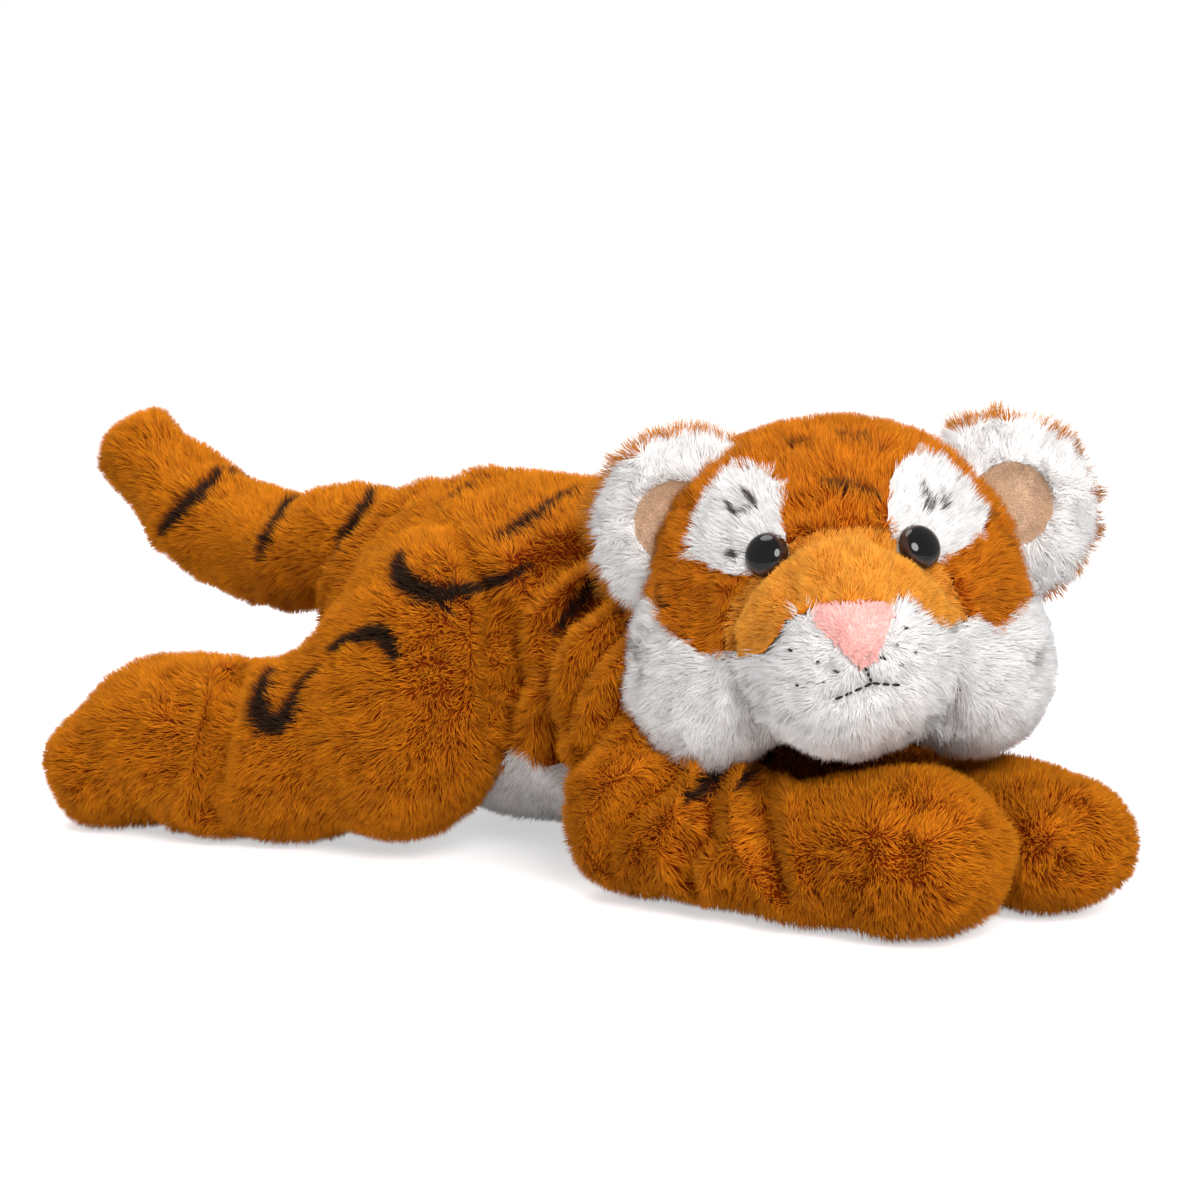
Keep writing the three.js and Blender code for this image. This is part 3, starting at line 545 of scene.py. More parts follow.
def coat_colours(coat, top, cell, cells, rng):
    """Colours of each strand's four points, with the coat's marks laid over them."""
    count = len(top)
    base = np.tile(np.array(coat.colours)[None], (count, 1, 1))
    for line_set, colours, soft, cover in coat.marks:
        near = np.full(count, FAR)
        for line in line_set:
            near = np.minimum(near, line_distance(line, top))
        inside = 1 - smooth_step(1 - soft, 1 + soft, near + MARK_RAGGED * rng.normal(size=count))
        inside = (inside * cover)[:, None, None]
        base = base * (1 - inside) + np.array(colours)[None] * inside
    bright = 1 + CELL_TINT * rng.normal(size=cells)[cell] + STRAND_TINT * rng.normal(size=count)
    bright = np.clip(bright, *TINT_LIMITS)[:, None, None]
    base = np.clip(base * bright, 0, BRIGHTEST)
    # The three root points take the darker root colour, painted shade in the pile; the tip takes the lighter
    # tip colour, painted light
    return base[:, [0, 0, 0, 1]]


# Materials
NOISE_DETAIL, NOISE_LIMITS = 3.0, (0.3, 0.7)
SHEEN_ROUGHNESS = 0.5
PILE_SCALE, PILE_SHADES = 160, (0.9, 1.1)
CLOTH_ROUGHNESS, CLOTH_SPECULAR, CLOTH_SHADES = 0.95, 0.1, (0.8, 1.15)
CLOTH_BUMP, CLOTH_BUMP_DEPTH, PLAIN_BUMP = 0.4, 0.0006, 0.5


def new_node(material, kind, **values):
    node = material.node_tree.nodes.new("ShaderNode" + kind)
    for name, value in values.items():
        node.inputs[name.replace("_", " ")].default_value = value
    return node


def connect(material, output, socket):
    material.node_tree.links.new(output, socket)


def node_material(name, roughness, specular, sheen=0.0):
    material = bpy.data.materials.new(name)
    material.use_nodes = True
    shader = material.node_tree.nodes["Principled BSDF"]
    shader.inputs["Roughness"].default_value = roughness
    shader.inputs["Specular IOR Level"].default_value = specular
    shader.inputs["Sheen Weight"].default_value = sheen
    shader.inputs["Sheen Roughness"].default_value = SHEEN_ROUGHNESS
    return material, shader


def textured(material, shader, colour, scale, low, high, strength=0.0, distance=0.0):
    """Give a shader a colour that a fine noise varies from a low to a high share, with bumps."""
    where = new_node(material, "TexCoord")
    noise = new_node(material, "TexNoise", Scale=scale, Detail=NOISE_DETAIL)
    connect(material, where.outputs["Object"], noise.inputs["Vector"])
    spread = new_node(material, "MapRange", From_Min=NOISE_LIMITS[0], From_Max=NOISE_LIMITS[1],
                      To_Min=low, To_Max=high)
    connect(material, noise.outputs["Fac"], spread.inputs["Value"])
    tinted = new_node(material, "VectorMath")
    tinted.operation = "SCALE"
    connect(material, colour, tinted.inputs[0])
    connect(material, spread.outputs["Result"], tinted.inputs["Scale"])
    connect(material, tinted.outputs["Vector"], shader.inputs["Base Color"])
    if distance:
        bump = new_node(material, "Bump", Strength=strength, Distance=distance)
        connect(material, noise.outputs["Fac"], bump.inputs["Height"])
        connect(material, bump.outputs["Normal"], shader.inputs["Normal"])


def coat_colour(material):
    attribute = new_node(material, "Attribute")
    attribute.attribute_name = "coat"
    return attribute.outputs["Color"]


def pile_material(name, roughness=0.85, specular=0.12, sheen=0.0):
    material, shader = node_material(name, roughness, specular, sheen)
    textured(material, shader, coat_colour(material), PILE_SCALE, *PILE_SHADES)
    return material


def cloth_material(name, scale=2200):
    """The woven ground under the pile."""
    material, shader = node_material(name, CLOTH_ROUGHNESS, CLOTH_SPECULAR)
    textured(material, shader, coat_colour(material), scale, *CLOTH_SHADES, CLOTH_BUMP, CLOTH_BUMP_DEPTH)
    return material


def plain_material(name, colour, roughness, specular, scale, low, high, bump=0.0):
    material, shader = node_material(name, roughness, specular)
    mixed = new_node(material, "CombineColor")
    for key, value in zip(("Red", "Green", "Blue"), linear(*colour)):
        mixed.inputs[key].default_value = value
    textured(material, shader, mixed.outputs["Color"], scale, low, high, PLAIN_BUMP, bump)
    return material


fur_pile = pile_material("plush_pile")
fur_ground = cloth_material("plush_ground")
velour_pile = pile_material("velour_pile", 0.9, 0.15, sheen=0.15)
velour_ground = cloth_material("velour_ground", 3000)
# Each plain material: name, colour, roughness, specular, noise scale, darkest and lightest share
filling = plain_material("filling", (226, 224, 220), 1.0, 0.1, 400, 0.85, 1.08, bump=0.001)
thread_black = plain_material("thread_black", (24, 20, 19), 0.6, 0.3, 3000, 0.7, 1.3, bump=0.0003)
eye_black = plain_material("eye_black", (3, 2, 2), 0.06, 0.35, 300, 0.9, 1.1)
eye_brown = plain_material("eye_brown", (52, 30, 20), 0.1, 0.35, 500, 0.7, 1.3)
washer_white = plain_material("washer_white", (216, 216, 210), 0.5, 0.4, 600, 0.95, 1.03)


# Meshes
def make_object(name, points, tris, colours=None, normals=None, slots=(), slot_of=None, maps=None):
    mesh = bpy.data.meshes.new(name)
    points = np.asarray(points, float) * METRES
    mesh.vertices.add(len(points))
    mesh.vertices.foreach_set("co", points.astype(np.float32).ravel())
    mesh.loops.add(len(tris) * 3)
    mesh.loops.foreach_set("vertex_index", tris.astype(np.int32).ravel())
    mesh.polygons.add(len(tris))
    mesh.polygons.foreach_set("loop_start", np.arange(0, len(tris) * 3, 3, dtype=np.int32))
    mesh.update(calc_edges=True)
    for material in slots:
        mesh.materials.append(material)
    if slot_of is not None:
        mesh.polygons.foreach_set("material_index", slot_of.astype(np.int32))
    mesh.polygons.foreach_set("use_smooth", np.ones(len(tris), bool))
    if colours is not None:
        layer = mesh.color_attributes.new("coat", "FLOAT_COLOR", "POINT")
        rgba = np.concatenate([colours, np.ones((len(colours), 1))], 1).astype(np.float32)
        layer.data.foreach_set("color", rgba.ravel())
    if maps is not None:
        layer = mesh.uv_layers.new(name="OFBake")
        layer.data.foreach_set("uv", maps.astype(np.float32).ravel())
    mesh.validate(clean_customdata=False)
    if normals is not None:
        mesh.normals_split_custom_set_from_vertices(normals.tolist())
    mesh.update()
    piece = bpy.data.objects.new(name, mesh)
    bpy.context.scene.collection.objects.link(piece)
    return piece


def settled(piece, body, nodes):
    """Attach a piece to what it moves with, and hide the solids it stands for."""
    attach(piece, body)
    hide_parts(*nodes)


def thickened(points, tris, maps, normals, thickness):
    """A panel with a back face and edges, so that it is a closed body."""
    used, index = np.unique(tris, return_inverse=True)
    tris = index.reshape(-1, 3)
    points, normals = points[used], normals[used]
    count = len(points)
    edges = np.concatenate([tris[:, [0, 1]], tris[:, [1, 2]], tris[:, [2, 0]]])
    owner = np.tile(np.arange(len(tris)), 3)
    key = edges.min(1) * count + edges.max(1)
    _, first, times = np.unique(key, return_index=True, return_counts=True)
    rim = edges[first[times == 1]]
    rim_map = np.repeat(maps[owner[first[times == 1]], :1], 3, axis=1)
    a, b = rim[:, 0], rim[:, 1]
    all_tris = np.concatenate([
        tris, tris[:, ::-1] + count,
        np.stack([b, a, a + count], -1), np.stack([b, a + count, b + count], -1),
    ])
    all_maps = np.concatenate([maps, maps[:, ::-1], rim_map, rim_map])
    all_points = np.concatenate([points, points - normals * thickness])
    return all_points, all_tris, all_maps, np.concatenate([normals, -normals])


# The skin under the pile is painted darker than the strands' roots, as shade between the strands
PANEL_THICKNESS, SKIN_FLOOR, SKIN_PAINTED_SHADE_SHARE = 1.2, 1.0, 0.85
FILLING_INSET = 7.5
SKIN_SHARE, SKIN_MAP_SHARE = 0.32, 0.98
CELL_START, CELL_STEP, CELL_MIDDLE, CELL_END = 0.1, 0.27, 0.5, 0.9


def strand_maps(count):
    """A cell of the flat map for each strand, beside the skin's share of it."""
    side = int(math.ceil(math.sqrt(max(count, 1))))
    index = np.arange(count)
    wide, tall = (1 - SKIN_SHARE) / side, 1 / side
    corner = np.stack([SKIN_SHARE + (index % side) * wide, (index // side) / side], -1)
    spots = np.array([[
        [CELL_START + CELL_STEP * k, CELL_START], [CELL_START + CELL_STEP * (k + 1), CELL_START],
        [CELL_MIDDLE, CELL_END],
    ] for k in range(3)])
    return (corner[:, None, None] + spots[None] * [wide, tall]).reshape(-1, 3, 2)


def everywhere(points):
    return np.ones(len(points))


def plush(name, surface, coat, seed, body, nodes, keep=everywhere, panel=None, own=None,
          materials=(fur_ground, fur_pile)):
    """One plush panel: its fabric skin, and the pile on it, as one piece."""
    points, every_tri, maps = surface
    tris = every_tri
    if panel is not None:
        chosen = panel(points[tris].mean(1))
        tris, maps = tris[chosen], maps[chosen]
    pile_tris = tris if own is None else every_tri[own(points)[every_tri].any(1)]
    normals = corner_normals(points, every_tri)
    base = points - normals * coat.depth_at(points)
    base[:, 2] = np.maximum(base[:, 2], SKIN_FLOOR)
    if panel is not None:
        base, tris, maps, normals = thickened(base, tris, maps, normals, PANEL_THICKNESS)
    rng = np.random.default_rng(seed + 5)
    tops = base + normals * coat.depth_at(base)
    # The skin takes the root colour, darkened further as painted shade seen between the strands
    skin_colours = coat_colours(coat, tops, np.zeros(len(tops), int), 1, rng)[:, 0] * SKIN_PAINTED_SHADE_SHARE
    pile = strands(points, pile_tris, coat, seed, keep, own)
    piece = make_object(
        name,
        np.concatenate([base, pile[0]]),
        np.concatenate([tris, pile[1] + len(base)]),
        np.concatenate([skin_colours, pile[2]]),
        np.concatenate([normals, pile[3]]),
        materials,
        np.concatenate([np.zeros(len(tris)), np.ones(len(pile[1]))]),
        np.concatenate([maps * [SKIN_SHARE * SKIN_MAP_SHARE, 1], strand_maps(len(pile[1]) // 3)]),
    )
    settled(piece, body, nodes)


def bare(name, surface, materials, node, slot_of=None):
    """A piece of the head without pile, from a closed surface in the head's frame."""
    points, tris, maps = surface
    points = from_head(points)
    piece = make_object(name, points, tris, None, corner_normals(points, tris), materials, slot_of, maps)
    settled(piece, "head", [node])


def filling_pad(name, surface, body, node):
    points, tris, maps = surface
    normals = corner_normals(points, tris)
    piece = make_object(name, points - normals * FILLING_INSET, tris, None, normals, (filling,), None, maps)
    settled(piece, body, [node])


# Plain forms of the body, before their folds
def swept(stations, side=1, caps=(None, None), bluntness=1, axis=None, reach=None):
    """A limb's surface, and how far points lie outside it."""
    surface = limb(stations, side, caps, bluntness)
    if axis:
        surface = wrapped(surface, place(axis[0], side), place(axis[1], side), reach)
    return surface, limb_depth(stations, side, caps)


torso_plain, torso_depth = swept(
    [CHEST, RIBS, WAIST, LOIN, RUMP], caps=TORSO_CAPS, axis=TORSO_AXIS, reach=TORSO_REACH,
)
tail_root_plain, tail_root_depth = swept([TAIL_ROOT, TAIL_SAG, TAIL_JOINT])
tail_tip_plain, tail_tip_depth = swept([TAIL_JOINT, TAIL_RISE, TAIL_BEND, TAIL_TIP], caps=TAIL_CAPS)
upper_plain, paw_plain, thigh_plain, foot_plain = {}, {}, {}, {}
upper_depth, paw_depth, thigh_depth, foot_depth = {}, {}, {}, {}
for _, side in SIDES:
    upper_plain[side], upper_depth[side] = swept([SHOULDER, UPPER_END], side)
    paw_plain[side], paw_depth[side] = swept([ELBOW, WRIST, PAW_ENDS[side]], side, PAW_CAPS, PAW_BLUNTNESS)
    thigh_depth[side] = field_depth([HAUNCH, THIGH, KNEE], THIGH_BLEND, side)
    thigh_plain[side] = swelling(place(THIGH, side), thigh_depth[side], SPACING, THIGH_REACH)
    foot_plain[side], foot_depth[side] = swept(
        [HOCK, INSTEP, FOOT], side, FOOT_CAPS, axis=FOOT_AXIS, reach=FOOT_REACH,
    )
other_cheek = (-CHEEK[0],) + CHEEK[1:]
local_head_depth = field_depth([SKULL, CHEEK, other_cheek, MUZZLE], HEAD_BLEND, head=True)
local_head = swelling(np.zeros(3), local_head_depth, HEAD_SPACING, HEAD_REACH)
head_plain = (from_head(local_head[0]), local_head[1], local_head[2])


def leg_surfaces(*forms):
    return [surface for form in forms for surface in form.values()]


legs_plain = leg_surfaces(upper_plain, paw_plain, thigh_plain, foot_plain)
body_tree = tree_of(torso_plain, tail_root_plain, tail_tip_plain, *legs_plain)
head_tree = tree_of(head_plain)

# Folds: pixel x, pixel y, half width; each line with the depth of its fold
BODY_FOLDS = [
    ([(607, 543, 4), (557, 563, 5), (523, 607, 5), (500, 647, 4)], 2.2),
    ([(613, 577, 4), (573, 613, 5), (533, 650, 5), (508, 690, 4)], 2.6),
    ([(623, 620, 4), (590, 647, 5), (570, 680, 5), (563, 720, 5), (560, 770, 5)], 4.0),
    ([(620, 697, 4), (597, 720, 5), (572, 757, 4)], 3.0),
    ([(668, 772, 3.5), (632, 800, 4), (604, 832, 4), (596, 864, 3.5)], 2.8),
    ([(716, 772, 3.5), (704, 800, 4), (700, 832, 4), (680, 856, 4), (684, 888, 3.5)], 3.0),
    ([(760, 772, 3.5), (756, 800, 4), (756, 832, 4), (764, 864, 4), (776, 888, 3.5)], 3.0),
    ([(898, 852, 4), (902, 866, 5), (905, 876, 4)], 0.6),
    ([(897, 850, 4), (896, 830, 4), (906, 812, 4), (930, 806, 4), (948, 806, 3)], 0.6),
    ([(1030, 858, 4), (1034, 868, 5), (1036, 876, 4)], 0.6),
    ([(1000, 790, 4), (1036, 783, 4), (1072, 797, 4), (1096, 828, 4), (1094, 878, 4)], 0.6),
    ([(240, 662, 4), (223, 720, 4), (212, 787, 4), (207, 816, 4)], 3.0),
    ([(170, 680, 5), (178, 690, 6), (184, 700, 5)], 1.0),
    ([(470, 545, 4), (498, 600, 5), (503, 660, 5), (500, 720, 4)], 2.5),
]
HEAD_FOLDS = [
    ([(795, 568, 2.5), (790, 582, 3), (795, 600, 2)], 1.6),
    ([(899, 575, 2.5), (903, 590, 2.5), (897, 600, 2)], 1.2),
    ([(675, 590, 2), (677, 615, 2.2), (681, 640, 2)], 2.4),
    ([(688, 588, 2), (691, 615, 2.2), (697, 648, 2)], 2.4),
    ([(703, 598, 2), (706, 625, 2.2), (712, 655, 2)], 2.4),
    ([(735, 640, 2.5), (730, 655, 3), (738, 690, 3.4), (762, 730, 3.4)], 3.2),
    ([(961, 622, 2.5), (961, 655, 3), (955, 690, 3.4), (942, 725, 3.4)], 3.2),
    ([(731, 656, 2.4), (727, 630, 3), (737, 603, 3), (757, 577, 3), (787, 551, 3), (823, 533, 3),
      (857, 528, 3), (895, 543, 3), (923, 557, 3), (945, 578, 3), (960, 604, 3), (963, 621, 2.4)], 3.4),
    ([(865, 667, 2), (872, 683, 2.6)], 1.4),
    ([(833, 700, 2), (852, 693, 2.6), (872, 683, 2.6), (887, 686, 2.4), (902, 685, 2)], 1.6),
    ([(800, 505, 3), (838, 512, 4), (876, 508, 3)], 1.6),
]
FOLD_DEEPEN = 2.2
body_folds = [(line_on(body_tree, marks), depth * FOLD_DEEPEN) for marks, depth in BODY_FOLDS]
body_folds += [(mirrored(line), depth) for line, depth in body_folds]
head_folds = [(line_on(head_tree, marks), depth) for marks, depth in HEAD_FOLDS]

# Shape of a fold, of the lumps in a stuffed form and of the rise where two forms meet
BULGE_SHARE, BULGE_AT, BULGE_WIDTH = 0.3, 2.3, 0.9
LUMP_WAVE, DIMPLE_WAVE, DIMPLE_SHARE = 42, 17, 0.4
BODY_LUMPS, TAIL_LUMPS, HEAD_LUMPS = 0.7, 1.0, 0.4
RISE_SHARE, RISE_ASIDE, RISE_BELOW, RISE_ABOVE, RISE_BEHIND = 1.2, (12, 34), 14, 10, (40, 80)
TORSO_RISE_SOFT, TORSO_RISE_LEVEL = 11, 92
THIGH_RISE_SOFT, THIGH_RISE_LEVEL = 5, 96


def joined_rise(depths, soft, points, low):
    """How far a surface comes out where it meets its neighbours, so that they blend."""
    rise = np.zeros(len(points))
    for depth in depths:
        rise = rise + RISE_SHARE * soft * np.log1p(np.exp(-np.maximum(depth(points), 0) / soft))
    aside = smooth_step(*RISE_ASIDE, np.abs(points[:, 0]))
    above = smooth_step(low - RISE_BELOW, low + RISE_ABOVE, points[:, 2])
    return rise * aside * above * (1 - smooth_step(*RISE_BEHIND, points[:, 1]))


def folded(surface, folds, seed, lumps=BODY_LUMPS, rise=0):
    """A surface with soft lumps, and with folds pressed in between low bulges."""
    points, tris, maps = surface
    normals = corner_normals(points, tris)
    dimples = lumps * DIMPLE_SHARE * Waves(seed + 1, DIMPLE_WAVE)(points)
    rise = rise + lumps * Waves(seed, LUMP_WAVE)(points) + dimples
    for line, depth in folds:
        if len(line) > 1:
            off = line_distance(line, points)
            bulge = BULGE_SHARE * np.exp(-(((off - BULGE_AT) / BULGE_WIDTH) ** 2))
            rise = rise - depth * (np.exp(-off ** 2) - bulge)
    return points + normals * rise[:, None], tris, maps


torso_rise = joined_rise([thigh_depth[side] for _, side in SIDES], TORSO_RISE_SOFT, torso_plain[0],
                         TORSO_RISE_LEVEL)
torso = folded(torso_plain, body_folds, 11, rise=torso_rise)
tail_root = folded(tail_root_plain, [], 12, TAIL_LUMPS)
tail_tip = folded(tail_tip_plain, [], 13, TAIL_LUMPS)
upper, paw, thigh, foot = {}, {}, {}, {}
for _, side in SIDES:
    thigh_rise = joined_rise([torso_depth], THIGH_RISE_SOFT, thigh_plain[side][0], THIGH_RISE_LEVEL)
    upper[side] = folded(upper_plain[side], body_folds, 14)
    paw[side] = folded(paw_plain[side], body_folds, 15 + side)
    thigh[side] = folded(thigh_plain[side], body_folds, 18 + side, rise=thigh_rise)
    foot[side] = folded(foot_plain[side], body_folds, 21 + side)

# Stripes: pixel x, pixel y, half width
BODY_STRIPES = [
    [(222, 464, 1.5), (200, 488, 3.5), (183, 503, 4), (165, 523, 3), (158, 536, 1.5)],
    [(292, 495, 2), (277, 513, 3.5), (262, 537, 4), (256, 560, 1.5)],
    [(377, 480, 1.5), (363, 502, 2.5), (350, 523, 3), (337, 543, 2), (330, 562, 1)],
    [(486, 470, 1), (453, 490, 1.2), (433, 504, 0.8)],
    [(600, 480, 1), (573, 485, 1.8), (550, 498, 2.3), (523, 517, 4), (493, 535, 1)],
    [(397, 551, 2.5), (395, 568, 4), (407, 583, 4), (433, 592, 4.5), (460, 588, 3.2), (490, 583, 2.6),
     (517, 573, 1.8), (533, 565, 1)],
    [(433, 594, 1.6), (453, 613, 0.8)],
    [(325, 650, 1.5), (343, 638, 2.2), (367, 632, 3.6), (380, 637, 4), (390, 654, 2.5)],
    [(268, 668, 2.2), (255, 693, 4), (257, 713, 5), (270, 722, 5), (283, 713, 4), (290, 697, 3),
     (300, 680, 2), (315, 665, 1)],
    [(603, 583, 2), (583, 600, 2.4), (553, 633, 1)],
    [(724, 764, 2), (704, 788, 2.4), (688, 800, 1.2)],
    [(768, 756, 2), (748, 776, 2.4), (736, 788, 1.2)],
]
HEAD_STRIPES = [
    [(823, 478, 1), (843, 482, 2), (860, 484, 1.8), (878, 491, 1.2)],
    [(787, 439, 0.8), (800, 434, 1.4), (812, 432, 0.8)],
    [(837, 429, 0.8), (862, 430, 1.2), (890, 438, 0.8)],
    [(657, 585, 1.4), (659, 606, 1.6)],
    [(995, 507, 0.8), (1008, 530, 1.2), (1020, 552, 0.8)],
]
PATCH_MARKS = [
    [(726, 551, 0.9), (732, 553, 1.2), (737, 552, 0.6)],
    [(931, 540, 1.2), (935, 544, 0.7)],
    [(741, 486, 0.7), (748, 495, 1.0), (752, 501, 0.6)],
    [(722, 498, 0.5), (733, 511, 0.8), (746, 504, 0.8)],
    [(925, 481, 0.6), (929, 495, 1.0), (934, 507, 0.8), (940, 492, 0.5)],
    [(944, 488, 0.5), (949, 504, 0.9), (953, 492, 0.4)],
]
CHEEK_MARKS = [
    [(624, 620, 1.2), (628, 640, 1.5), (634, 660, 1.0)],
    [(641, 668, 1.0), (638, 680, 1.2)],
    [(1048, 648, 0.8), (1040, 664, 1.2)],
]
STRIPE_WIDEN, HEAD_STRIPE_WIDEN, SPOT_WIDEN = 1.0, 1.25, 1.5


def marks_on(tree, rows, widen_share, colours, soft, cover, both_sides=False):
    """Marks of one colour laid over a surface, with how soft they are and how well they cover."""
    lines = [line_on(tree, [(x, y, half * widen_share) for x, y, half in row]) for row in rows]
    if both_sides:
        lines += [mirrored(line) for line in lines]
    return [([line for line in lines if len(line) > 1], colours, soft, cover)]


skin_tree = tree_of(torso, tail_root, tail_tip, *leg_surfaces(upper, paw, thigh, foot))
striped = marks_on(skin_tree, BODY_STRIPES, STRIPE_WIDEN, BLACK, 0.35, 1.0, both_sides=True)
head_marks = marks_on(head_tree, HEAD_STRIPES, HEAD_STRIPE_WIDEN, BLACK, 0.4, 0.9)
patch_spots = marks_on(head_tree, PATCH_MARKS, SPOT_WIDEN, BLACK, 0.5, 0.95)
cheek_spots = marks_on(head_tree, CHEEK_MARKS, SPOT_WIDEN, GREY, 0.6, 0.8)

# Panels of the head, as outlines in the photograph laid on its surface
BRIDGE_EDGE = [
    (787, 550), (800, 540), (823, 533), (857, 528), (883, 535), (895, 543), (910, 548), (923, 557),
    (940, 570), (953, 587), (961, 604), (963, 621), (953, 626), (937, 621), (927, 611), (918, 602),
    (908, 597), (898, 598), (892, 608), (887, 606), (840, 604), (820, 607), (806, 608), (793, 612),
    (781, 622), (774, 637), (763, 650), (747, 657), (731, 654), (728, 630), (737, 603), (757, 577),
]
NOSE_EDGE = [
    (811, 612), (822, 604), (843, 602), (873, 600), (889, 604), (895, 612), (889, 630), (878, 656),
    (869, 667), (861, 668), (852, 663), (836, 643), (819, 627),
]
LEFT_PATCH_EDGE = [
    (705, 490), (715, 473), (733, 462), (757, 463), (773, 477), (782, 493), (779, 510), (783, 530),
    (788, 545), (780, 568), (757, 579), (733, 573), (713, 568), (693, 560), (684, 547), (687, 527),
    (695, 507),
]
RIGHT_PATCH_EDGE = [
    (892, 490), (894, 473), (907, 457), (923, 448), (943, 453), (960, 470), (977, 490), (993, 517),
    (990, 530), (967, 547), (945, 557), (934, 570), (915, 566), (895, 550), (890, 523), (888, 507),
]
CHEEK_LINE = [
    (643, 592), (650, 607), (657, 623), (677, 637), (700, 652), (727, 656), (760, 680), (840, 690),
    (930, 650), (963, 618), (983, 620), (1000, 626), (1020, 613), (1034, 598),
]
SNOUT_EDGE = [
    (731, 654), (740, 690), (757, 725), (790, 750), (840, 762), (900, 757), (940, 735), (958, 700),
    (966, 660), (963, 621), (920, 595), (840, 600), (780, 615), (750, 640),
]


def face_line(pixels):
    spots = [cast(head_tree, pixel) for pixel in pixels]
    return np.array([to_head(spot)[[0, 2]] for spot in spots if spot is not None])


def within(outline, points):
    """Which face points lie in an outline seen from the front."""
    local = to_head(points)
    x, y = local[:, 0], local[:, 2]
    inside = np.zeros(len(points), bool)
    for (ax, ay), (bx, by) in zip(outline, np.roll(outline, -1, axis=0)):
        crosses = (ay > y) != (by > y)
        rise = by - ay if abs(by - ay) > TINY else TINY
        inside ^= crosses & (x < ax + (y - ay) * (bx - ax) / rise)
    return inside & (local[:, 1] < 0)


bridge_edge = face_line(BRIDGE_EDGE)
nose_edge = face_line(NOSE_EDGE)
patch_edges = {-1: face_line(LEFT_PATCH_EDGE), 1: face_line(RIGHT_PATCH_EDGE)}
cheek_line = face_line(CHEEK_LINE)
snout_edge = face_line(SNOUT_EDGE)
CHEEK_BACK, CHEEK_MIDDLE, CHEEK_SLANT_SHARE = 24, -32, 0.55
SEAM_WOBBLE, SEAM_WAVE, CHEEK_WOBBLE_SHARE = 0.5, 5, 3


def panel_of(points):
    """Which panel of the head each point belongs to."""
    local = to_head(points)
    wobble = SEAM_WOBBLE * Waves(77, SEAM_WAVE)(points)
    low = local[:, 2] < np.interp(local[:, 0], cheek_line[:, 0], cheek_line[:, 1]) + wobble
    name = np.full(len(points), "head_skin", dtype="<U20")
    behind = CHEEK_BACK - CHEEK_SLANT_SHARE * (local[:, 2] - CHEEK_MIDDLE)
    white = low & (local[:, 1] < behind + CHEEK_WOBBLE_SHARE * wobble)
    name[white & (local[:, 0] < 0)] = "cheek_right"
    name[white & (local[:, 0] >= 0)] = "cheek_left"
    name[within(snout_edge, points)] = "snout"
    for side, word in ((-1, "right"), (1, "left")):
        name[within(patch_edges[side], points)] = f"eye_patch_{word}"
    name[within(bridge_edge, points)] = "bridge"
    name[within(nose_edge, points)] = "nose"
    return name


def edge_depth(outline, points):
    """How far face points lie inside an outline seen from the front."""
    local = to_head(points)[:, [0, 2]]
    best = np.full(len(points), FAR)
    for a, b in zip(outline, np.roll(outline, -1, axis=0)):
        way = b - a
        t = np.clip((local - a) @ way / max(way @ way, TINY), 0, 1)
        best = np.minimum(best, np.linalg.norm(local - a - t[:, None] * way, axis=1))
    return np.where(within(outline, points), best, 0.0)


# How far the panels of the face puff out, and how wide the slope to that is
BRIDGE_PUFF, NOSE_PUFF, SNOUT_PUFF = 2.0, 1.4, 1.4
BRIDGE_SLOPE, NOSE_SLOPE, SNOUT_SLOPE = 9, 5, 14


def face_rise(points):
    return (
        BRIDGE_PUFF * smooth_step(0, BRIDGE_SLOPE, edge_depth(bridge_edge, points))
        + NOSE_PUFF * smooth_step(0, NOSE_SLOPE, edge_depth(nose_edge, points))
        + SNOUT_PUFF * smooth_step(0, SNOUT_SLOPE, edge_depth(snout_edge, points))
    )


head = folded(head_plain, head_folds, 24, HEAD_LUMPS, face_rise(head_plain[0]))

# Eyes in the head's frame, and the profile of an eye as radius and height over its seat
EYE_OUT, EYE_UP, EYE_RADIUS, EYE_TOP, EYE_SUNK, EYE_LAP = 25, 20, 7.5, 5, 1.5, 1.0
EYE_PROFILE = [(0.0, -13.0), (2.2, -13.0), (2.2, -0.4), (6.9, -0.4), (7.4, 0.0), (7.5, 0.5), (7.35, 1.05)]
DOME_RADIUS, DOME_START, DOME_HEIGHT, DOME_DEGREES = 7.1, 1.1, 3.9, np.arange(8, 90, 7)
EYE_AROUND = 48
BLACK_RADIUS, RIM_LEVEL = 5.9, 0.9


def on_face(out, up, proud=0.0):
    """The face's point straight behind a spot seen from the front, and its outward way."""
    inside, outside = 0.0, FACE_REACH
    for _ in range(FINE_HALVINGS):
        half = (inside + outside) / 2
        if local_head_depth(np.array([[out, -half, up]]))[0] > proud:
            outside = half
        else:
            inside = half
    point = np.array([out, -inside, up])
    steps = SLOPE_STEP * np.eye(3)
    slope = [local_head_depth((point + step)[None])[0] - proud for step in steps]
    return point, unit(np.array(slope))


eye_seats = {side: on_face(side * EYE_OUT, EYE_UP) for _, side in SIDES}

# How deep in a neighbour strands are left out, and how many are kept near the ground
IN_LIMB, IN_TORSO, TAIL_IN_TORSO, TAIL_IN_TAIL = 9, 14, 10, 12
IN_PAW, PAW_IN_FORELEG, THIGH_IN_TORSO, IN_HIND_LEG = 14, 16, 9, 13
GROUND_BAND, GROUND_KEPT_SHARE = 2.5, 0.6


def clear_of(*rooms):
    def keep(points):
        share = np.ones(len(points))
        for depth, most in rooms:
            share = np.where(depth(points) < -most, 0.0, share)
        return np.where(points[:, 2] < GROUND_BAND, share * GROUND_KEPT_SHARE, share)

    return keep


# Which way the pile lies
BODY_FLOW, TAIL_FLOW, LEG_SINK = (0, 1, -0.45), (0, 1, 0.15), (0, 0, -0.25)
FACE_PARTING, FACE_FLOW_BACK = (1.0, -60.0, -4.0), 12


def steady(way):
    return lambda points: np.tile(way, (len(points), 1))


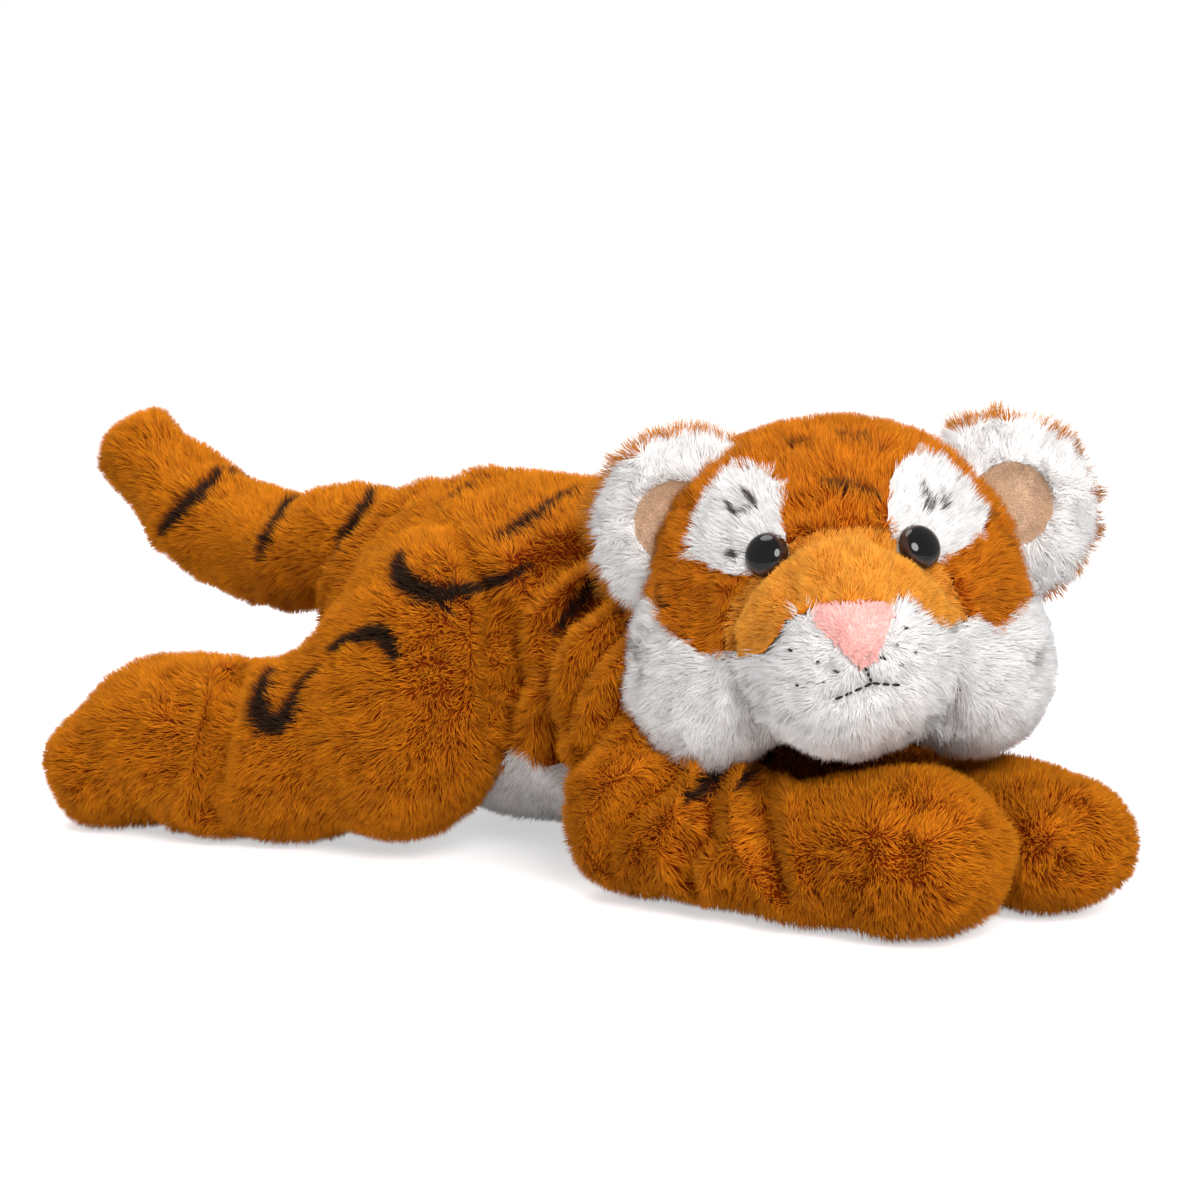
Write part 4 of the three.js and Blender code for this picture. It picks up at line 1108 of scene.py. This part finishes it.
def leg_flow(at, towards, side):
    return steady(unit(place(towards, side) - place(at, side)) + np.array(LEG_SINK))


def head_flow(points):
    out = to_head(points) - np.array(FACE_PARTING)
    out[:, 1] = FACE_FLOW_BACK
    return unit(out) @ HEAD_ROTATION.T


# Torso and tail
BELLY_SEAM, BELLY_WOBBLE, BELLY_WAVE = 36, 2.5, 22
CHEST_PANEL_START, CHEST_PANEL_TOP = 60, 85
BODY_PILE = dict(depth=4.4, lean=22)
body_flow = steady(BODY_FLOW)


def belly_panel(points):
    seam = BELLY_SEAM + BELLY_WOBBLE * Waves(5, BELLY_WAVE)(points)
    front = (points[:, 1] < LENGTH_SHIFT - CHEST_PANEL_START) & (points[:, 2] < CHEST_PANEL_TOP)
    return (points[:, 2] < seam) | front


def back_panel(points):
    return ~belly_panel(points)


limbs_near = [(depth[s], IN_LIMB) for depth in (thigh_depth, upper_depth) for _, s in SIDES]
back_coat = Coat(ORANGE, body_flow, **BODY_PILE, marks=striped, density=2.3)
belly_coat = Coat(WHITE, body_flow, **BODY_PILE, density=1.5)
plush("torso_back", torso, back_coat, 100, "torso", ["back_skin"],
      clear_of(*limbs_near), back_panel)
plush("torso_belly", torso, belly_coat, 200, "torso", ["belly_skin"],
      clear_of(*limbs_near), belly_panel)
filling_pad("torso_filling", torso, "torso", "torso_stuffing")

tail_coat = Coat(ORANGE, steady(TAIL_FLOW), depth=4.8, lean=24, marks=striped, density=2.2, gather=0.5)
plush("tail_root", tail_root, tail_coat, 300, "tail_root",
      ["tail_root_skin", "tail_root_stuffing"],
      clear_of((torso_depth, TAIL_IN_TORSO), (tail_tip_depth, TAIL_IN_TAIL)))
plush("tail_tip", tail_tip, tail_coat, 400, "tail_tip",
      ["tail_tip_skin", "tail_tip_stuffing"], clear_of((tail_root_depth, TAIL_IN_TAIL)))


# Legs: name, surface, strand density, flow and the neighbours they are rooted in
def leg_parts(side):
    return (
        ("foreleg", upper[side], 1.9, leg_flow(SHOULDER, ELBOW, side),
         [(torso_depth, IN_TORSO), (paw_depth[side], IN_PAW)]),
        ("paw", paw[side], 2.2, leg_flow(ELBOW, PAW_ENDS[side], side), [(upper_depth[side], PAW_IN_FORELEG)]),
        ("thigh", thigh[side], 2.2, body_flow,
         [(torso_depth, THIGH_IN_TORSO), (foot_depth[side], IN_HIND_LEG)]),
        ("foot", foot[side], 2.1, leg_flow(HOCK, FOOT, side), [(thigh_depth[side], IN_HIND_LEG)]),
    )


for word, side in SIDES:
    for number, (part, surface, density, flow, rooms) in enumerate(leg_parts(side)):
        coat = Coat(ORANGE, flow, **BODY_PILE, marks=striped, density=density)
        name = f"{part}_{word}"
        plush(name, surface, coat, 500 + 100 * side + 20 * number, name,
              [f"{part}_skin_{word}", f"{part}_stuffing_{word}"], clear_of(*rooms))

# Head panels
SNOUT_MIDDLE, SNOUT_DEPTH, SNOUT_DEEPER, SNOUT_DEEPENS = (3.0, -14.0), 2.6, 3.2, (16, 34)


def head_keep(points):
    """No strands over the eyes, or deep in the chest."""
    local = to_head(points)
    share = np.ones(len(points))
    for at, _ in eye_seats.values():
        share = np.where(np.linalg.norm(local - at, axis=1) < EYE_RADIUS - EYE_LAP, 0.0, share)
    return share * clear_of((torso_depth, IN_TORSO))(points)


def snout_depth(points):
    far = np.linalg.norm(to_head(points)[:, [0, 2]] - np.array(SNOUT_MIDDLE), axis=1)
    return SNOUT_DEPTH + SNOUT_DEEPER * smooth_step(*SNOUT_DEEPENS, far)


LONG_PILE = dict(depth=4.2, lean=30, width=0.36)
WHITE_PILE = dict(LONG_PILE, density=3.0)
VELOUR = (velour_ground, velour_pile)
head_coats = {
    "head_skin": Coat(FACE_ORANGE, head_flow, **LONG_PILE, marks=head_marks, density=2.8, gather=0.2),
    "bridge": Coat(BRIDGE_ORANGE, head_flow, depth=1.9, lean=50, density=5.0, width=0.34, clump=2.2,
                   gather=0.12, sway=0.18),
    "snout": Coat(WHITE, head_flow, depth=snout_depth, lean=42, density=3.0, width=0.36, clump=2.4,
                  gather=0.35),
    "cheek_right": Coat(WHITE, head_flow, **WHITE_PILE, marks=cheek_spots),
    "cheek_left": Coat(WHITE, head_flow, **WHITE_PILE, marks=cheek_spots),
    "eye_patch_right": Coat(WHITE, head_flow, **WHITE_PILE, marks=patch_spots),
    "eye_patch_left": Coat(WHITE, head_flow, **WHITE_PILE, marks=patch_spots),
    "nose": Coat(PINK, head_flow, depth=1.2, lean=30, density=5.0, width=0.35, clump=2.0, gather=0.1,
                 sway=0.2),
}
head_panels = panel_of(head[0][head[1]].mean(1))


def head_panel(name, coat, seed):
    plush(
        f"{name}_plush", head, coat, seed, "head",
        ["muzzle_bridge" if name == "bridge" else name], head_keep,
        lambda points: head_panels == name, lambda points: panel_of(points) == name,
        VELOUR if name == "nose" else (fur_ground, fur_pile),
    )


for number, (name, coat) in enumerate(head_coats.items()):
    head_panel(name, coat, 800 + 50 * number)
filling_pad("head_filling", head, "head", "head_stuffing")


# Neck: a stuffed ball between the head and the body
def neck_depth(points):
    return np.linalg.norm(points - place(NECK), axis=-1) - NECK_RADIUS


neck = swelling(place(NECK), neck_depth, SPACING, NECK_RADIUS)
neck_coat = Coat(WHITE, body_flow, depth=4.0, density=1.0)
plush("neck_plush", neck, neck_coat, 1300, "neck", ["neck"])

# Ears, in a frame of their own on the head
EAR_OUT, EAR_ASIDE, EAR_BACK, EAR_UP, EAR_LEAN = 49, 4, 7, 20.5, 36
EAR_RADIUS, EAR_HALF, EAR_SHIFT, EAR_ROOT = 30.5, 6, 3.5, -7
LINING_RADIUS, LINING_SHIFT = 13.5, 8
EAR_SEAM, EAR_HOLLOW, HOLLOW_SHARES = 0.6, 4.6, (0.45, 1.35)
TRIM_FORWARD = -0.2
EAR_FRINGE = dict(round_share=3.0, tip_share=2.0)


def ear_rotation(side):
    return rotation(side * EAR_LEAN, Vector((0, -1, 0)))


def ear_base(side):
    return np.array([side * EAR_OUT + EAR_ASIDE, EAR_BACK, EAR_UP])


def to_ear(points, side):
    return (to_head(points) - ear_base(side)) @ ear_rotation(side)


def lining_distance(local, side):
    return np.hypot(local[..., 0] - side * LINING_SHIFT, local[..., 2])


def ear_surface(side):
    """A flat ball cut off at its root, with a hollow where the lining lies."""
    rings = ball_ways(EAR_RADIUS, EAR_SPACING)[..., [0, 2, 1]] * [EAR_RADIUS, -EAR_HALF, EAR_RADIUS]
    rings[..., 0] += side * EAR_SHIFT
    start, end = HOLLOW_SHARES
    radial = lining_distance(rings, side)
    hollow = EAR_HOLLOW * (1 - smooth_step(LINING_RADIUS * start, LINING_RADIUS * end, radial))
    rings[..., 1] += np.where(rings[..., 1] < 0, hollow, 0)
    poles = [[side * EAR_SHIFT, EAR_HOLLOW - EAR_HALF, 0], [side * EAR_SHIFT, EAR_HALF, 0]]
    points = np.concatenate([rings.reshape(-1, 3), poles])
    points[:, 0] = side * np.maximum(side * points[:, 0], EAR_ROOT)
    points = from_head(points @ ear_rotation(side).T + ear_base(side))
    return grid_surface(points[:-2].reshape(rings.shape), points[-2], points[-1])


def ear_flow(side, forward=0):
    def flow(points):
        out = to_ear(points, side) - np.array([side * EAR_SHIFT, 0, 0])
        out[:, 1] = 0
        out = unit(out) + np.array([0, forward, 0])
        return out @ ear_rotation(side).T @ HEAD_ROTATION.T

    return flow


def ear_panel(part, side):
    def panel(points):
        local = to_ear(points, side)
        front = local[:, 1] < EAR_SEAM
        lined = lining_distance(local, side) < LINING_RADIUS
        return {"back": ~front, "trim": front & ~lined, "lining": front & lined}[part]

    return panel


def ear_parts(side):
    """Name, fabric slot name (not used), materials and coat of an ear's three panels."""
    plain = ear_flow(side)
    fur = (fur_ground, fur_pile)
    return (
        # The ear back's pile is painted lighter, as backlight on the rim
        ("back", "orange_plush", fur, Coat(BACKLIT_RIM_ORANGE, plain, depth=1.2, lean=52, density=4.4, overhang=4.8,
                                           width=0.36, gather=0.08, sway=0.2, **EAR_FRINGE)),
        ("trim", "white_plush", fur, Coat(WHITE, ear_flow(side, TRIM_FORWARD), depth=1.3, lean=50,
                                          density=4.6, overhang=3.0, width=0.34, **EAR_FRINGE)),
        ("lining", "beige_velour", VELOUR, Coat(BEIGE, plain, depth=0.8, lean=35, density=5.0, width=0.32,
                                                clump=1.8, gather=0.1)),
    )


for word, side in SIDES:
    surface = ear_surface(side)
    for number, (part, slot, materials, coat) in enumerate(ear_parts(side)):
        panel = ear_panel(part, side)
        plush(f"ear_{part}_{word}_plush", surface, coat, 1500 + 60 * side + 10 * number, f"ear_{word}",
              [f"ear_{part}_{word}"], panel=panel, own=panel, materials=materials)


# Safety eyes: a black dome with a dark brown rim
def eye_piece(name, side):
    at, facing = eye_seats[side]
    seat = at - facing * EYE_SUNK
    side_way = unit(np.cross(facing, UP))
    up_way = np.cross(side_way, facing)
    dome = [
        (DOME_RADIUS * math.cos(a), DOME_START + DOME_HEIGHT * math.sin(a))
        for a in np.radians(DOME_DEGREES)
    ]
    turn = 2 * np.pi * np.arange(EYE_AROUND) / EYE_AROUND
    rings = np.array([
        [seat + facing * h + (side_way * math.cos(a) + up_way * math.sin(a)) * r for a in turn]
        for r, h in EYE_PROFILE[1:] + dome
    ])
    points, tris, maps = grid_surface(rings, seat + facing * EYE_PROFILE[0][1], seat + facing * EYE_TOP)
    local = points[tris].mean(1) - seat
    level = local @ facing
    radius = np.linalg.norm(local - level[:, None] * facing, axis=1)
    slot_of = np.where((radius > BLACK_RADIUS) | (level < RIM_LEVEL), 1, 0)
    bare(f"{name}_button", (points, tris, maps), (eye_black, eye_brown), name, slot_of)


for word, side in SIDES:
    eye_piece(f"eye_{word}", side)
    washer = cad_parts[f"eye_washer_{word}"]
    washer.data.materials.clear()
    washer.data.materials.append(washer_white)

# Threads: short stitches along a line on the face
THREAD_RADIUS, MOUTH_PROUD, KNOT_PROUD = 0.5, 0.3, 0.2
THREAD_SIDES, THREAD_STEPS = 8, 8
THREAD_SWELL, THREAD_END_SHARE, STITCH_SHARE = 0.35, 0.3, 0.8
KNOT_RISE_SHARE, KNOT_FALL_SHARE = 0.4, 0.5


def stitch_surface(spots, proud):
    """A thread through face spots, thick in the middle and thin at its ends."""
    points = np.array([on_face(out, up, proud)[0] for out, up in spots])
    t = np.linspace(0, len(points) - 1, THREAD_STEPS * (len(points) - 1) + 1)
    line = along(points, t)
    ways = unit(np.gradient(line, axis=0))
    swell = np.sin(np.linspace(0, np.pi, len(t))) ** THREAD_SWELL
    across = unit(np.cross(ways, np.array([0, -1.0, 0])))
    upward = np.cross(across, ways)
    turn = 2 * np.pi * np.arange(THREAD_SIDES) / THREAD_SIDES
    rings = line[:, None] + (
        across[:, None] * np.cos(turn)[None, :, None] + upward[:, None] * np.sin(turn)[None, :, None]
    ) * (THREAD_RADIUS * np.maximum(swell, THREAD_END_SHARE))[:, None, None]
    return grid_surface(rings, line[0], line[-1])


def thread_piece(name, lines, proud, node):
    stitches = merged([stitch_surface(spots, proud) for spots in lines])
    bare(name, stitches, (thread_black,), node)


def dashes(a, b, count):
    a, b = np.array(a, float), np.array(b, float)
    out = []
    for i in range(count):
        start, end = i / count, (i + STITCH_SHARE) / count
        out.append([tuple(a + (b - a) * s) for s in (start, (start + end) / 2, end)])
    return out


def face_spot(pixel):
    return to_head(cast(head_tree, pixel)[None])[0][[0, 2]]


# The mouth's pixels: its top, the corner of its lips, and its two ends
MOUTH_PIXELS = ((865, 667), (872, 683), (833, 700), (902, 685))
mouth_top, mouth_corner, mouth_far, mouth_near = (face_spot(pixel) for pixel in MOUTH_PIXELS)
mouth_lines = dashes(mouth_top, mouth_corner, 3)
mouth_lines += dashes(mouth_corner, mouth_far, 4) + dashes(mouth_corner, mouth_near, 3)
thread_piece("mouth_stitches", mouth_lines, MOUTH_PROUD, "mouth_thread")

# Whisker knots: pixel x, pixel y, half length
WHISKER_SPOTS = {
    "right": [(790, 650, 0.7), (818, 662, 0.6), (836, 671, 1.0), (823, 682, 0.7), (797, 685, 0.5)],
    "left": [(907, 628, 1.1), (897, 645, 0.6), (883, 658, 1.1), (902, 665, 0.8), (916, 653, 0.6)],
}
for word, spots in WHISKER_SPOTS.items():
    marks = [(*face_spot(spot[:2]), spot[2]) for spot in spots]
    knots = [
        [(x - size, y + size * KNOT_RISE_SHARE), (x, y), (x + size, y - size * KNOT_FALL_SHARE)]
        for x, y, size in marks
    ]
    thread_piece(f"whisker_knots_{word}", knots, KNOT_PROUD, f"whisker_thread_{word}")

# Floor, lights and camera
FLOOR_SIDE, FLOOR_GREY, FLOOR_GLOW = 12000, 0.9, 0.54
FLOOR_ROUGHNESS, FLOOR_SPECULAR = 0.9, 0.1
LIT_SKY, SEEN_SKY = 0.64, 1.0
CLIP_START, CLIP_END = 0.05, 50
WHITE_LIGHT = (1, 1, 1, 1)


def floor_material():
    material, shader = node_material("studio_floor", FLOOR_ROUGHNESS, FLOOR_SPECULAR)
    shader.inputs["Base Color"].default_value = (FLOOR_GREY, FLOOR_GREY, FLOOR_GREY, 1)
    rays = new_node(material, "LightPath")
    strength = new_node(material, "Math")
    strength.operation = "MULTIPLY"
    strength.inputs[1].default_value = FLOOR_GLOW
    connect(material, rays.outputs["Is Camera Ray"], strength.inputs[0])
    glow = new_node(material, "Emission", Color=WHITE_LIGHT)
    connect(material, strength.outputs[0], glow.inputs["Strength"])
    add = new_node(material, "AddShader")
    connect(material, shader.outputs[0], add.inputs[0])
    connect(material, glow.outputs[0], add.inputs[1])
    connect(material, add.outputs[0], material.node_tree.nodes["Material Output"].inputs["Surface"])
    return material


floor = make_object(
    "floor", np.array([[-1, -1, 0], [1, -1, 0], [1, 1, 0], [-1, 1, 0]]) * FLOOR_SIDE / 2,
    np.array([[0, 1, 2], [0, 2, 3]]), None, None, (floor_material(),),
)

world = bpy.data.worlds.new("studio")
bpy.context.scene.world = world
world.use_nodes = True
sky = world.node_tree.nodes["Background"]
sky.inputs["Color"].default_value = WHITE_LIGHT
rays = new_node(world, "LightPath")
brightness = new_node(world, "MapRange", To_Min=LIT_SKY, To_Max=SEEN_SKY)
connect(world, rays.outputs["Is Camera Ray"], brightness.inputs["Value"])
connect(world, brightness.outputs["Result"], sky.inputs["Strength"])


def area_light(name, at, towards, size, power):
    data = bpy.data.lights.new(name, "AREA")
    data.shape = "DISK"
    data.size = size
    data.energy = power
    lamp = bpy.data.objects.new(name, data)
    lamp.location = at
    lamp.rotation_euler = (Vector(towards) - Vector(at)).to_track_quat("-Z", "Y").to_euler()
    bpy.context.scene.collection.objects.link(lamp)


# Each lamp: name, place, aim, diameter and power
LAMPS = [
    ("key", (-1.05, -1.65, 1.2), (0, 0, 0.07), 1.1, 39),
    ("top", (-0.2, 0.6, 2.2), (0, 0, 0.05), 1.4, 24),
]
for lamp in LAMPS:
    area_light(*lamp)

camera_data = bpy.data.cameras.new("camera")
camera_data.sensor_width = SENSOR_WIDTH
camera_data.lens = SENSOR_WIDTH * FOCAL_PIXELS / IMAGE_SIDE
camera_data.clip_start, camera_data.clip_end = CLIP_START, CLIP_END
camera = bpy.data.objects.new("camera", camera_data)
camera.location = Vector(EYE_POINT) * METRES
camera.rotation_mode = "QUATERNION"
camera.rotation_quaternion = Vector(-TOWARD).to_track_quat("-Z", "Y")
bpy.context.scene.collection.objects.link(camera)
bpy.context.scene.camera = camera
bpy.context.scene.view_settings.view_transform = "Standard"
